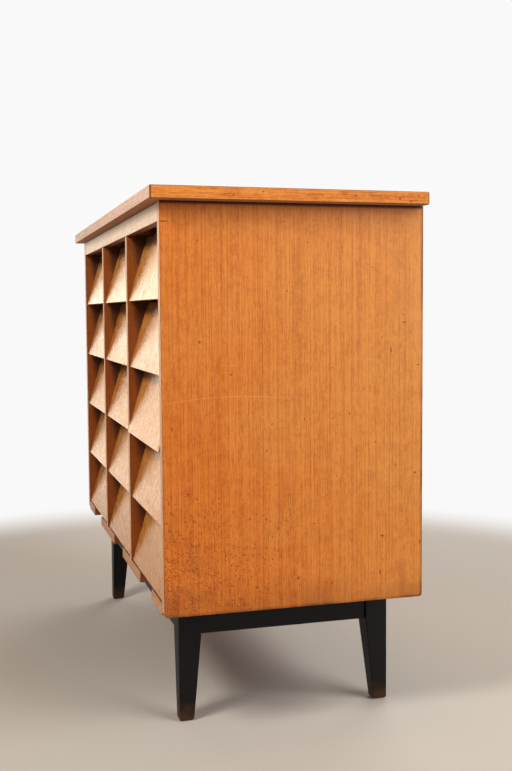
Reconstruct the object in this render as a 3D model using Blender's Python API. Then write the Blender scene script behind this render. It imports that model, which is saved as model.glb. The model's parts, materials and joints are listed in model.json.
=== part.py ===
"""Chest of fifteen drawers with leaning fronts, in a veneered carcass on a black base with tapered legs.

Metres, +Z up. X runs along the front, Y from the front to the back, and Z = 0 is the floor. The origin lies on the
floor under the middle of the whole piece. Rows count from the top, columns from the left.
"""
import math

import bmesh
import bpy
from mathutils import Vector

# Layout of the drawers
ROWS = 5
COLUMNS = 3
COLUMN_WIDTH = 0.328
ROW_PITCH = 0.1294

# Fits: the gap between pieces that rest on or in each other, and how far a cutter passes the face it opens
GAP = 0.0003
OVERRUN = 0.004

# Carcass boards
SIDE_THICKNESS = 0.020
DIVIDER_THICKNESS = 0.018
BOTTOM_THICKNESS = 0.020
CARCASS_DEPTH = 0.4735
BACK_THICKNESS = 0.006
BACK_REBATE_WIDTH = 0.009
FRONT_RAIL_HEIGHT = 0.033
FRONT_RAIL_THICKNESS = 0.018
EDGE_ROUND = 0.0008

# Top board
TOP_THICKNESS = 0.0217
TOP_OVERHANG_SIDE = 0.028
TOP_OVERHANG_FRONT = 0.0207
TOP_CORNER_RADIUS = 0.005
TOP_EDGE_ROUND = 0.0015

# Lower corners of the side panels
SIDE_FRONT_CORNER_RADIUS = 0.008
SIDE_REAR_CORNER_RADIUS = 0.005

# Joints of the carcass: housings for the dividers, tongues of the bottom board, tenons of the front rail
HOUSING_DEPTH = 0.005
HOUSING_STOP = 0.012
TONGUE_LENGTH = 0.006
TONGUE_THICKNESS = 0.008
RAIL_TENON_LENGTH = 0.008
RAIL_TENON_HEIGHT = 0.019
RAIL_TENON_THICKNESS = 0.008

# Finger notches in the front edge of the bottom board, one under each column
NOTCH_WIDTH = 0.124
NOTCH_DEPTH = 0.038
NOTCH_RADIUS = 0.008
NOTCH_LIP_RADIUS = 0.002

# Drawer fronts: a front leans back by FRONT_LEAN from its lower edge to its upper edge
FRONT_SETBACK = 0.0024
FRONT_LEAN = 0.038
FRONT_THICKNESS = 0.018
FRONT_SIDE_GAP = 0.001
FRONT_ROW_GAP = 0.003
FRONT_EDGE_ROUND = 0.001

# Drawer box behind the front
BOX_SIDE_CLEARANCE = 0.003
BOX_SIDE_THICKNESS = 0.012
BOX_BACK_THICKNESS = 0.010
BOX_BACK_INSET = 0.003
BOX_BACK_DROP = 0.004
BOX_LIFT = 0.010
BOX_DROP = 0.010
BOX_REAR_CLEARANCE = 0.012
BOX_HOUSING_DEPTH = 0.004
BOX_BOTTOM_THICKNESS = 0.004
BOX_BOTTOM_LIFT = 0.006
BOX_BOTTOM_GROOVE = 0.005

# Side hung runners: a batten on the carcass wall runs in a groove of the drawer side
RUNNER_HEIGHT = 0.010
RUNNER_REACH = 0.0085
RUNNER_FRONT_CLEARANCE = 0.001
RUNNER_NOSE_RADIUS = 0.003
RUNNER_PLAY = 0.0008
RUNNER_GROOVE_DEPTH = 0.006

# One drawer stands a little open
OPEN_ROW = 3
OPEN_COLUMN = 3
OPEN_BY = 0.006

# Base: four tapered legs and a ring of four rails
LEG_HEIGHT = 0.222
LEG_INSET_SIDE = 0.098
LEG_INSET_FRONT = 0.044
LEG_INSET_REAR = 0.027
LEG_TOP_WIDTH = 0.043
LEG_TOP_DEPTH = 0.042
LEG_FOOT_WIDTH = 0.025
LEG_FOOT_DEPTH = 0.027
LEG_EDGE_ROUND = 0.0015
LEG_FOOT_CHAMFER = 0.003
APRON_HEIGHT = 0.064
APRON_THICKNESS = 0.020
APRON_RECESS = 0.005
APRON_TENON_THICKNESS = 0.008
APRON_TENON_SHOULDER = 0.010

# Facets
ARC_STEPS = 4
ROUND_STEPS = 2

# Levels and planes that the sizes above give
OPENING_HEIGHT = ROWS * ROW_PITCH
CARCASS_HEIGHT = BOTTOM_THICKNESS + OPENING_HEIGHT + FRONT_RAIL_HEIGHT
CARCASS_WIDTH = COLUMNS * COLUMN_WIDTH + (COLUMNS - 1) * DIVIDER_THICKNESS + 2 * SIDE_THICKNESS
CARCASS_LOW = LEG_HEIGHT + GAP
BOARD_TOP = CARCASS_LOW + BOTTOM_THICKNESS
CARCASS_TOP = CARCASS_LOW + CARCASS_HEIGHT
TOP_UNDERSIDE = CARCASS_TOP + GAP
RAIL_UNDERSIDE = CARCASS_TOP - FRONT_RAIL_HEIGHT
FRONT_Y = TOP_OVERHANG_FRONT - (CARCASS_DEPTH + TOP_OVERHANG_FRONT) / 2
REAR_Y = FRONT_Y + CARCASS_DEPTH
BACK_FACE_Y = REAR_Y - BACK_THICKNESS
BOARD_REAR_Y = BACK_FACE_Y - GAP
TONGUE_FRONT_Y = FRONT_Y + NOTCH_DEPTH + HOUSING_STOP
SIDE_OUTER_X = CARCASS_WIDTH / 2
SIDE_INNER_X = SIDE_OUTER_X - SIDE_THICKNESS

# Sizes of a drawer, measured from the middle of its front's lower edge
FRONT_HEIGHT = ROW_PITCH - FRONT_ROW_GAP
FRONT_SLOPE = FRONT_LEAN / FRONT_HEIGHT
FRONT_SPAN = FRONT_THICKNESS * math.hypot(1, FRONT_SLOPE)
FRONT_HALF_WIDTH = COLUMN_WIDTH / 2 - FRONT_SIDE_GAP
BOX_HALF_WIDTH = COLUMN_WIDTH / 2 - BOX_SIDE_CLEARANCE
BOX_INNER_HALF_WIDTH = BOX_HALF_WIDTH - BOX_SIDE_THICKNESS
BOX_TOP = FRONT_HEIGHT - BOX_DROP
BOX_REAR_Y = CARCASS_DEPTH - BACK_THICKNESS - BOX_REAR_CLEARANCE - FRONT_SETBACK
BOX_BOTTOM_LOW = BOX_LIFT + BOX_BOTTOM_LIFT
BOX_BOTTOM_TOP = BOX_BOTTOM_LOW + BOX_BOTTOM_THICKNESS
RUNNER_MIDDLE = (BOX_LIFT + BOX_TOP) / 2
RUNNER_TOP = RUNNER_MIDDLE + RUNNER_HEIGHT / 2

# Planes of the base
LEG_OUTER_X = SIDE_OUTER_X - LEG_INSET_SIDE
LEG_FRONT_Y = FRONT_Y + LEG_INSET_FRONT
LEG_REAR_Y = REAR_Y - LEG_INSET_REAR
APRON_LOW = LEG_HEIGHT - APRON_HEIGHT
APRON_TENON_INSET = APRON_RECESS + (APRON_THICKNESS - APRON_TENON_THICKNESS) / 2


def clear_scene():
    """Start from an empty file."""
    for thing in list(bpy.data.objects):
        bpy.data.objects.remove(thing, do_unlink=True)


def linear(hex_colour):
    """An sRGB hex colour as linear red, green, blue and alpha."""
    channels = [int(hex_colour[place:place + 2], 16) / 255 for place in (1, 3, 5)]
    return tuple(c / 12.92 if c <= 0.04045 else ((c + 0.055) / 1.055) ** 2.4 for c in channels) + (1.0,)


def finish(name, colour, roughness):
    """A plain material for one kind of surface."""
    material = bpy.data.materials.new(name)
    material.use_nodes = True
    shader = material.node_tree.nodes["Principled BSDF"]
    shader.inputs["Base Color"].default_value = linear(colour)
    shader.inputs["Roughness"].default_value = roughness
    shader.inputs["Metallic"].default_value = 0.0
    material.diffuse_color = linear(colour)
    return material


def rectangle(u_low, u_high, v_low, v_high):
    """The outline of a rectangle."""
    return [(u_low, v_low), (u_high, v_low), (u_high, v_high), (u_low, v_high)]


def rounded(corners):
    """An outline from (u, v, radius) corners, where a radius above zero turns the corner into an arc."""
    outline = []
    count = len(corners)
    for index, (u, v, radius) in enumerate(corners):
        corner = Vector((u, v))
        if radius <= 0:
            outline.append((u, v))
            continue
        before = (Vector(corners[index - 1][:2]) - corner).normalized()
        after = (Vector(corners[(index + 1) % count][:2]) - corner).normalized()
        half_angle = before.angle(after) / 2
        centre = corner + (before + after).normalized() * radius / math.sin(half_angle)
        start = corner + before * radius / math.tan(half_angle) - centre
        end = corner + after * radius / math.tan(half_angle) - centre
        sweep = start.angle_signed(end)
        for step in range(ARC_STEPS + 1):
            turn = -sweep * step / ARC_STEPS
            spoke = Vector((start.x * math.cos(turn) - start.y * math.sin(turn),
                            start.x * math.sin(turn) + start.y * math.cos(turn)))
            outline.append(tuple(centre + spoke))
    return outline


def solid(name, shape):
    """An object from a finished bmesh, with its faces turned outwards."""
    bmesh.ops.recalc_face_normals(shape, faces=shape.faces)
    mesh = bpy.data.meshes.new(name)
    shape.to_mesh(mesh)
    shape.free()
    thing = bpy.data.objects.new(name, mesh)
    bpy.context.collection.objects.link(thing)
    return thing


def prism(name, outline, axis, low, high):
    """An outline extruded along an axis: (y, z) along X, (x, z) along Y, (x, y) along Z."""
    points = {
        "X": [(low, u, v) for u, v in outline],
        "Y": [(u, low, v) for u, v in outline],
        "Z": [(u, v, low) for u, v in outline],
    }[axis]
    direction = Vector([float(axis == letter) for letter in "XYZ"])
    shape = bmesh.new()
    base = shape.faces.new([shape.verts.new(point) for point in points])
    grown = bmesh.ops.extrude_face_region(shape, geom=[base])["geom"]
    far_end = [item for item in grown if isinstance(item, bmesh.types.BMVert)]
    bmesh.ops.translate(shape, verts=far_end, vec=direction * (high - low))
    return solid(name, shape)


def block(name, x_range, y_range, z_range):
    """A plain board between three pairs of planes."""
    return prism(name, rectangle(*x_range, *y_range), "Z", *z_range)


def settle(thing):
    """Turn an object's modifiers into plain mesh."""
    graph = bpy.context.evaluated_depsgraph_get()
    shaped = bpy.data.meshes.new_from_object(thing.evaluated_get(graph))
    thing.modifiers.clear()
    thing.data = shaped
    thing.data.name = thing.name


def round_edges(thing, width):
    """Ease the sharp edges of a board by a small radius."""
    bevel = thing.modifiers.new("eased edges", "BEVEL")
    bevel.width = width
    bevel.segments = ROUND_STEPS
    bevel.limit_method = "ANGLE"
    bevel.use_clamp_overlap = False
    settle(thing)


def combine(thing, others, operation):
    """Cut the other solids out of a thing, or glue them to it, and put them away."""
    for other in others:
        step = thing.modifiers.new(other.name, "BOOLEAN")
        step.operation = operation
        step.solver = "EXACT"
        step.object = other
    settle(thing)
    for other in others:
        bpy.data.objects.remove(other, do_unlink=True)


def cut(thing, *cutters):
    """Cut the cutters out of a thing."""
    combine(thing, cutters, "DIFFERENCE")


def glue(thing, *others):
    """Glue the others to a thing, as one solid."""
    combine(thing, others, "UNION")


def column_middle(column):
    """X of the middle of a column, counted from 1 at the left."""
    return (column - (COLUMNS + 1) / 2) * (COLUMN_WIDTH + DIVIDER_THICKNESS)


def row_low(row):
    """Z of the lower edge of the fronts in a row, counted from 1 at the top."""
    return BOARD_TOP + FRONT_ROW_GAP / 2 + (ROWS - row) * ROW_PITCH


def front_face(z, inside=0):
    """Y of a leaning front at height z above its lower edge: its outer face, or a plane inside or behind it."""
    return FRONT_SLOPE * z + inside


def divider_positions():
    """X of the middle of each divider, from the left."""
    step = COLUMN_WIDTH + DIVIDER_THICKNESS
    return [column_middle(column) + step / 2 for column in range(1, COLUMNS)]


def runners(wall_x, facing):
    """The battens on one carcass wall, one for each row, starting inside the wall. Facing is +1 or -1 along X."""
    nose_y = FRONT_Y + FRONT_SETBACK + front_face(RUNNER_TOP, FRONT_SPAN) + RUNNER_FRONT_CLEARANCE
    battens = []
    for row in range(1, ROWS + 1):
        low = row_low(row) + RUNNER_MIDDLE - RUNNER_HEIGHT / 2
        high = low + RUNNER_HEIGHT
        outline = rounded([
            (nose_y, low, RUNNER_NOSE_RADIUS),
            (BOARD_REAR_Y - OVERRUN, low, 0),
            (BOARD_REAR_Y - OVERRUN, high, 0),
            (nose_y, high, RUNNER_NOSE_RADIUS),
        ])
        ends = sorted((wall_x - facing * DIVIDER_THICKNESS / 4, wall_x + facing * RUNNER_REACH))
        battens.append(prism("runner", outline, "X", *ends))
    return battens


def make_top_board():
    """The top, flush at the back and overhanging elsewhere, with a stopped housing for each divider."""
    half_width = SIDE_OUTER_X + TOP_OVERHANG_SIDE
    front = FRONT_Y - TOP_OVERHANG_FRONT
    outline = rounded([
        (-half_width, front, TOP_CORNER_RADIUS),
        (half_width, front, TOP_CORNER_RADIUS),
        (half_width, REAR_Y, TOP_CORNER_RADIUS),
        (-half_width, REAR_Y, TOP_CORNER_RADIUS),
    ])
    board = prism("top_board", outline, "Z", TOP_UNDERSIDE, TOP_UNDERSIDE + TOP_THICKNESS)
    round_edges(board, TOP_EDGE_ROUND)
    reach = DIVIDER_THICKNESS / 2 + GAP
    for middle in divider_positions():
        cut(board, block("housing", (middle - reach, middle + reach),
                         (FRONT_Y + FRONT_RAIL_THICKNESS, BOARD_REAR_Y + GAP),
                         (TOP_UNDERSIDE - OVERRUN, TOP_UNDERSIDE + HOUSING_DEPTH)))
    return board


def make_side_panel(name, side):
    """An outer wall. Side is -1 for the left and +1 for the right."""
    outline = rounded([
        (FRONT_Y, CARCASS_LOW, SIDE_FRONT_CORNER_RADIUS),
        (REAR_Y, CARCASS_LOW, SIDE_REAR_CORNER_RADIUS),
        (REAR_Y, CARCASS_TOP, 0),
        (FRONT_Y, CARCASS_TOP, 0),
    ])
    panel = prism(name, outline, "X", *sorted((side * SIDE_INNER_X, side * SIDE_OUTER_X)))
    round_edges(panel, EDGE_ROUND)
    inner = side * (SIDE_INNER_X - OVERRUN)
    rebate = block("rebate", sorted((inner, side * (SIDE_INNER_X + BACK_REBATE_WIDTH))),
                   (BACK_FACE_Y - GAP, REAR_Y + OVERRUN), (CARCASS_LOW - OVERRUN, CARCASS_TOP + OVERRUN))
    tongue_low = CARCASS_LOW + (BOTTOM_THICKNESS - TONGUE_THICKNESS) / 2
    groove = block("groove", sorted((inner, side * (SIDE_INNER_X + TONGUE_LENGTH))),
                   (TONGUE_FRONT_Y - GAP, BOARD_REAR_Y + GAP),
                   (tongue_low - GAP, tongue_low + TONGUE_THICKNESS + GAP))
    tenon_y = FRONT_Y + (FRONT_RAIL_THICKNESS - RAIL_TENON_THICKNESS) / 2
    tenon_low = RAIL_UNDERSIDE + (FRONT_RAIL_HEIGHT - RAIL_TENON_HEIGHT) / 2
    mortise = block("mortise", sorted((inner, side * (SIDE_INNER_X + RAIL_TENON_LENGTH))),
                    (tenon_y - GAP, tenon_y + RAIL_TENON_THICKNESS + GAP),
                    (tenon_low - GAP, tenon_low + RAIL_TENON_HEIGHT + GAP))
    cut(panel, rebate, groove, mortise)
    glue(panel, *runners(side * SIDE_INNER_X, -side))
    return panel


def make_divider(name, middle):
    """An inner wall, notched round the front rail and housed in the top and bottom boards."""
    front_edge = FRONT_Y + HOUSING_STOP
    behind_rail = FRONT_Y + FRONT_RAIL_THICKNESS + GAP
    foot = BOARD_TOP - HOUSING_DEPTH + GAP
    head = TOP_UNDERSIDE + HOUSING_DEPTH - GAP
    outline = [
        (FRONT_Y, BOARD_TOP + GAP),
        (front_edge, BOARD_TOP + GAP),
        (front_edge, foot),
        (BOARD_REAR_Y, foot),
        (BOARD_REAR_Y, head),
        (behind_rail, head),
        (behind_rail, RAIL_UNDERSIDE - GAP),
        (FRONT_Y, RAIL_UNDERSIDE - GAP),
    ]
    half = DIVIDER_THICKNESS / 2
    wall = prism(name, outline, "X", middle - half, middle + half)
    round_edges(wall, EDGE_ROUND)
    glue(wall, *runners(middle - half, -1), *runners(middle + half, 1))
    return wall


def make_bottom_board():
    """The carcass floor, with a finger notch under each column, end tongues and a housing for each divider."""
    half_width = SIDE_INNER_X - GAP
    corners = [(-half_width, FRONT_Y, 0)]
    for column in range(1, COLUMNS + 1):
        left = column_middle(column) - NOTCH_WIDTH / 2
        right = column_middle(column) + NOTCH_WIDTH / 2
        corners += [
            (left, FRONT_Y, NOTCH_LIP_RADIUS),
            (left, FRONT_Y + NOTCH_DEPTH, NOTCH_RADIUS),
            (right, FRONT_Y + NOTCH_DEPTH, NOTCH_RADIUS),
            (right, FRONT_Y, NOTCH_LIP_RADIUS),
        ]
    corners += [(half_width, FRONT_Y, 0), (half_width, BOARD_REAR_Y, 0), (-half_width, BOARD_REAR_Y, 0)]
    board = prism("bottom_board", rounded(corners), "Z", CARCASS_LOW, BOARD_TOP)
    round_edges(board, EDGE_ROUND)
    reach = SIDE_INNER_X + TONGUE_LENGTH - GAP
    tongue_low = CARCASS_LOW + (BOTTOM_THICKNESS - TONGUE_THICKNESS) / 2
    glue(board, block("tongues", (-reach, reach), (TONGUE_FRONT_Y, BOARD_REAR_Y - HOUSING_STOP),
                      (tongue_low, tongue_low + TONGUE_THICKNESS)))
    reach = DIVIDER_THICKNESS / 2 + GAP
    for middle in divider_positions():
        cut(board, block("housing", (middle - reach, middle + reach),
                         (FRONT_Y + HOUSING_STOP - GAP, BOARD_REAR_Y + OVERRUN),
                         (BOARD_TOP - HOUSING_DEPTH, BOARD_TOP + OVERRUN)))
    return board


def make_back_panel():
    """The thin back, let into the side panels and standing behind the boards."""
    half_width = SIDE_INNER_X + BACK_REBATE_WIDTH - GAP
    return block("back_panel", (-half_width, half_width), (BACK_FACE_Y, REAR_Y), (CARCASS_LOW, CARCASS_TOP))


def make_front_rail():
    """The rail under the top board, tenoned into the side panels."""
    half_width = SIDE_INNER_X - GAP
    rail = block("front_top_rail", (-half_width, half_width), (FRONT_Y, FRONT_Y + FRONT_RAIL_THICKNESS),
                 (RAIL_UNDERSIDE, CARCASS_TOP))
    round_edges(rail, EDGE_ROUND)
    reach = SIDE_INNER_X + RAIL_TENON_LENGTH - GAP
    tenon_y = FRONT_Y + (FRONT_RAIL_THICKNESS - RAIL_TENON_THICKNESS) / 2
    tenon_low = RAIL_UNDERSIDE + (FRONT_RAIL_HEIGHT - RAIL_TENON_HEIGHT) / 2
    glue(rail, block("tenons", (-reach, reach), (tenon_y, tenon_y + RAIL_TENON_THICKNESS),
                     (tenon_low, tenon_low + RAIL_TENON_HEIGHT)))
    return rail


def make_apron_ring(name, clearance, top):
    """The thin ring that the rails' tenons form inside the legs. A clearance makes it the legs' slot."""
    outer = APRON_TENON_INSET - clearance
    inner = APRON_TENON_INSET + APRON_TENON_THICKNESS + clearance
    z_range = (APRON_LOW + APRON_TENON_SHOULDER - clearance, top)
    ring = block(name, (outer - LEG_OUTER_X, LEG_OUTER_X - outer), (LEG_FRONT_Y + outer, LEG_REAR_Y - outer), z_range)
    middle = block("middle", (inner - LEG_OUTER_X, LEG_OUTER_X - inner), (LEG_FRONT_Y + inner, LEG_REAR_Y - inner),
                   (z_range[0] - OVERRUN, z_range[1] + OVERRUN))
    cut(ring, middle)
    return ring


def make_apron():
    """The four rails of the base. Their tenons meet inside the legs, where they are glued into one ring."""
    ring = make_apron_ring("base_apron", 0, LEG_HEIGHT)
    half_length = LEG_OUTER_X - LEG_TOP_WIDTH - GAP
    near = APRON_RECESS
    far = APRON_RECESS + APRON_THICKNESS
    rails = []
    for y_range in ((LEG_FRONT_Y + near, LEG_FRONT_Y + far), (LEG_REAR_Y - far, LEG_REAR_Y - near)):
        rails.append(block("rail", (-half_length, half_length), y_range, (APRON_LOW, LEG_HEIGHT)))
    y_range = (LEG_FRONT_Y + LEG_TOP_DEPTH + GAP, LEG_REAR_Y - LEG_TOP_DEPTH - GAP)
    for x_range in ((near - LEG_OUTER_X, far - LEG_OUTER_X), (LEG_OUTER_X - far, LEG_OUTER_X - near)):
        rails.append(block("rail", x_range, y_range, (APRON_LOW, LEG_HEIGHT)))
    for rail in rails:
        round_edges(rail, EDGE_ROUND)
    glue(ring, *rails)
    return ring


def make_leg(name, side, end):
    """A leg with two upright outer faces and two inner faces that taper below the rails.

    Side is -1 for the left and +1 for the right, end is -1 for the front and +1 for the rear.
    """
    outer_x = side * LEG_OUTER_X
    outer_y = LEG_FRONT_Y if end < 0 else LEG_REAR_Y
    shape = bmesh.new()
    levels = []
    for width, depth, z in ((LEG_FOOT_WIDTH, LEG_FOOT_DEPTH, 0), (LEG_TOP_WIDTH, LEG_TOP_DEPTH, APRON_LOW),
                            (LEG_TOP_WIDTH, LEG_TOP_DEPTH, LEG_HEIGHT)):
        section = rectangle(*sorted((outer_x, outer_x - side * width)), *sorted((outer_y, outer_y - end * depth)))
        levels.append([shape.verts.new((x, y, z)) for x, y in section])
    foot = shape.faces.new(levels[0])
    shape.faces.new(levels[-1])
    for lower, upper in zip(levels, levels[1:]):
        for index in range(len(lower)):
            following = (index + 1) % len(lower)
            shape.faces.new((lower[index], lower[following], upper[following], upper[index]))
    bmesh.ops.bevel(shape, geom=list(foot.edges), offset=LEG_FOOT_CHAMFER, segments=1, affect="EDGES")
    leg = solid(name, shape)
    round_edges(leg, LEG_EDGE_ROUND)
    cut(leg, make_apron_ring("slot", GAP, LEG_HEIGHT + OVERRUN))
    return leg


def make_drawer_front(name):
    """A board that leans back, cut level at its lower and upper edges, with seats for the box on its inner face."""
    outline = [
        (front_face(0), 0),
        (front_face(0, FRONT_SPAN), 0),
        (front_face(FRONT_HEIGHT, FRONT_SPAN), FRONT_HEIGHT),
        (front_face(FRONT_HEIGHT), FRONT_HEIGHT),
    ]
    front = prism(name, outline, "X", -FRONT_HALF_WIDTH, FRONT_HALF_WIDTH)
    round_edges(front, FRONT_EDGE_ROUND)
    low = BOX_LIFT - GAP
    high = BOX_TOP + GAP
    seat = FRONT_SPAN - BOX_HOUSING_DEPTH
    housing = [
        (front_face(low, seat), low),
        (front_face(low, FRONT_SPAN + OVERRUN), low),
        (front_face(high, FRONT_SPAN + OVERRUN), high),
        (front_face(high, seat), high),
    ]
    for side in (-1, 1):
        ends = sorted((side * (BOX_HALF_WIDTH + GAP), side * (BOX_INNER_HALF_WIDTH - GAP)))
        cut(front, prism("housing", housing, "X", *ends))
    reach = BOX_INNER_HALF_WIDTH + BOX_BOTTOM_GROOVE
    groove_front = front_face(BOX_BOTTOM_TOP, FRONT_SPAN) - BOX_BOTTOM_GROOVE
    cut(front, block("groove", (-reach, reach), (groove_front, front_face(BOX_BOTTOM_TOP, FRONT_SPAN) + OVERRUN),
                     (BOX_BOTTOM_LOW - GAP, BOX_BOTTOM_TOP + GAP)))
    return front


def make_drawer_box(name):
    """Two sides and a back, glued up: the sides are cut to the front's slope and grooved for runner and bottom."""
    seat = FRONT_SPAN - BOX_HOUSING_DEPTH + GAP
    outline = [
        (front_face(BOX_LIFT, seat), BOX_LIFT),
        (BOX_REAR_Y, BOX_LIFT),
        (BOX_REAR_Y, BOX_TOP),
        (front_face(BOX_TOP, seat), BOX_TOP),
    ]
    sides = [prism(name, outline, "X", *sorted((side * BOX_INNER_HALF_WIDTH, side * BOX_HALF_WIDTH)))
             for side in (-1, 1)]
    box, other_side = sides
    back_reach = BOX_INNER_HALF_WIDTH + BOX_SIDE_THICKNESS / 2
    back_rear = BOX_REAR_Y - BOX_BACK_INSET
    back = block("back", (-back_reach, back_reach), (back_rear - BOX_BACK_THICKNESS, back_rear),
                 (BOX_BOTTOM_LOW + BOX_BOTTOM_THICKNESS / 2, BOX_TOP - BOX_BACK_DROP))
    glue(box, other_side, back)
    slot_reach = BOX_INNER_HALF_WIDTH + BOX_BOTTOM_GROOVE
    slot = block("slot", (-slot_reach, slot_reach), (0, BOX_REAR_Y + OVERRUN),
                 (BOX_BOTTOM_LOW - GAP, BOX_BOTTOM_TOP + GAP))
    cut(box, slot)
    groove_high = RUNNER_TOP + GAP
    groove_low = groove_high - RUNNER_HEIGHT - RUNNER_PLAY
    for side in (-1, 1):
        ends = sorted((side * (BOX_HALF_WIDTH - RUNNER_GROOVE_DEPTH), side * (BOX_HALF_WIDTH + OVERRUN)))
        cut(box, block("runner groove", ends, (0, BOX_REAR_Y + OVERRUN), (groove_low, groove_high)))
    return box


def make_drawer_bottom(name):
    """A thin panel held in the grooves of the sides and the front, under the back."""
    reach = BOX_INNER_HALF_WIDTH + BOX_BOTTOM_GROOVE - GAP
    front = front_face(BOX_BOTTOM_TOP, FRONT_SPAN) - BOX_BOTTOM_GROOVE + GAP
    return block(name, (-reach, reach), (front, BOX_REAR_Y - BOX_BACK_INSET), (BOX_BOTTOM_LOW, BOX_BOTTOM_TOP))


def dress(thing, material):
    """Give a piece its material and flat shading with smooth rounds."""
    thing.data.materials.clear()
    thing.data.materials.append(material)
    thing.data.shade_smooth()
    thing.data.set_sharp_from_angle(angle=math.radians(35))


def make_carcass(veneer, edge_wood, plywood):
    """The fixed boards."""
    dress(make_top_board(), veneer)
    dress(make_side_panel("side_panel_left", -1), veneer)
    dress(make_side_panel("side_panel_right", 1), veneer)
    for name, middle in zip(("divider_left", "divider_right"), divider_positions()):
        dress(make_divider(name, middle), veneer)
    dress(make_bottom_board(), edge_wood)
    dress(make_front_rail(), edge_wood)
    dress(make_back_panel(), plywood)


def make_base(lacquer):
    """The black legs and rails."""
    dress(make_apron(), lacquer)
    for side, side_name in ((-1, "left"), (1, "right")):
        for end, end_name in ((-1, "front"), (1, "rear")):
            dress(make_leg(f"leg_{end_name}_{side_name}", side, end), lacquer)


def make_drawers(front_wood, box_wood, plywood):
    """Fifteen drawers alike, each under an empty that slides along Y."""
    makers = (("front", make_drawer_front, front_wood), ("box", make_drawer_box, box_wood),
              ("bottom", make_drawer_bottom, plywood))
    meshes = {}
    for kind, maker, material in makers:
        pattern = maker(f"drawer_{kind}")
        dress(pattern, material)
        meshes[kind] = pattern.data
        bpy.data.objects.remove(pattern, do_unlink=True)
    for row in range(1, ROWS + 1):
        for column in range(1, COLUMNS + 1):
            name = f"drawer_r{row}_c{column}"
            out = OPEN_BY if (row, column) == (OPEN_ROW, OPEN_COLUMN) else 0
            slide = bpy.data.objects.new(name, None)
            slide.location = (column_middle(column), FRONT_Y + FRONT_SETBACK - out, row_low(row))
            bpy.context.collection.objects.link(slide)
            for kind, mesh in meshes.items():
                piece = bpy.data.objects.new(f"{name}_{kind}", mesh)
                piece.parent = slide
                bpy.context.collection.objects.link(piece)


def main():
    """Build the whole chest."""
    clear_scene()
    veneer = finish("orange brown veneer", "#C4732F", 0.45)
    edge_wood = finish("pale edge wood", "#C9A184", 0.5)
    front_wood = finish("pale front veneer", "#DDBE98", 0.45)
    box_wood = finish("drawer side wood", "#CBA877", 0.6)
    plywood = finish("thin plywood", "#B98F60", 0.65)
    lacquer = finish("black lacquer", "#1B1817", 0.35)
    make_carcass(veneer, edge_wood, plywood)
    make_base(lacquer)
    make_drawers(front_wood, box_wood, plywood)
    bpy.context.view_layer.update()


main()
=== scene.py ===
# %% [markdown]
# A chest of fifteen drawers, dressed
#
# The joiner's work is finished before this lesson starts. Every board, drawer, rail and leg is already a
# solid of its real size, and each drawer rides on a body of its own, so that it can slide. What this lesson
# adds is the look of the thing: veneer, solid edges, lacquer, wear, small steel pins, a floor, some light
# and a camera.
#
# The solids could be modelled again here, but then two sets of measurements would have to agree. So they
# are loaded as a fixed frame, and nothing here moves or resizes them. Sizes that belong to the wood and its
# wear are written in millimetres, because that is how a maker measures them, and MM turns them into
# Blender's metres.

# %% Load the construction
import json
import math

import bmesh
import bpy
from mathutils import Matrix, Vector

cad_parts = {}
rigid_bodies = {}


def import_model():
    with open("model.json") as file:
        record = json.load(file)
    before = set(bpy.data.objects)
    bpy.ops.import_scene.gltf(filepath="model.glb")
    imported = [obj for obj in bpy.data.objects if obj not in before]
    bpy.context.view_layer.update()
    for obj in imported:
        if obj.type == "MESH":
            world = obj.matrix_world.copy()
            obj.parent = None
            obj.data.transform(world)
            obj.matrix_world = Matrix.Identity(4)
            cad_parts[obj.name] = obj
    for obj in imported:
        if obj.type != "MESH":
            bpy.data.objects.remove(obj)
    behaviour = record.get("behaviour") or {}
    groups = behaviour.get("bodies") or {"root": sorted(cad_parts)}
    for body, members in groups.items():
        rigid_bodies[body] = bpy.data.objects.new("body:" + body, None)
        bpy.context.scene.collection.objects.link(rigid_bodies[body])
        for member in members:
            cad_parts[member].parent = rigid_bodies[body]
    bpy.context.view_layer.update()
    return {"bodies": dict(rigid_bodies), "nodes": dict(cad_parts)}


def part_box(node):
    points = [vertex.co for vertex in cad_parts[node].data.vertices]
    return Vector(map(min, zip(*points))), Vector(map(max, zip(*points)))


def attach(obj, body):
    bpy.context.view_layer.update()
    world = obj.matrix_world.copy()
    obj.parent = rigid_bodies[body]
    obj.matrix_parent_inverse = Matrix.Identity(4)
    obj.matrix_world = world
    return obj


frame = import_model()
MM = 0.001

# %% [markdown]
# Marks of use have their places: dirt under the top board, a knock so far above the lower edge. Such places
# could be typed in as numbers, but a mark would then float off as soon as a board changed. So they are
# counted from a few planes and pitches, and these are read from the solids once, here.

# %% Measure the construction
side_low, side_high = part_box("side_panel_right")
front_y = side_low.y
rear_y = side_high.y
carcass_low = side_low.z
carcass_top = side_high.z
lowest_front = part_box("drawer_r5_c1_front")[0]
row_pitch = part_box("drawer_r4_c1_front")[0].z - lowest_front.z
column_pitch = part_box("drawer_r5_c2_front")[0].x - lowest_front.x
print(f"rows {row_pitch / MM:.1f} mm apart, columns {column_pitch / MM:.1f} mm apart")

# %% [markdown]
# The chest is seen from its right-hand end, from a little below its top, so the long front closes up into a
# narrow, steep strip. A camera could be moved by hand until such a view looks right. Here its place and its
# turn were worked out from the corners of the chest, so they are plain numbers, and one function makes the
# camera's matrix of them. Blender's lens is a length in millimetres on a sensor. The picture is taller than
# wide, so the sensor's height is given, and the lens follows from the distance to the picture plane,
# counted in pixels.

# %% Camera
PICTURE_HEIGHT = 771
PICTURE_PLANE = 1032.3
SENSOR_HEIGHT = 36.0
CAMERA_PLACE = Vector((2.2183, -0.5440, 0.7370))
CAMERA_TURN = math.radians(74.09)
CAMERA_RISE = math.radians(-4.038)
CAMERA_ROLL = math.radians(-0.4065)


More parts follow.
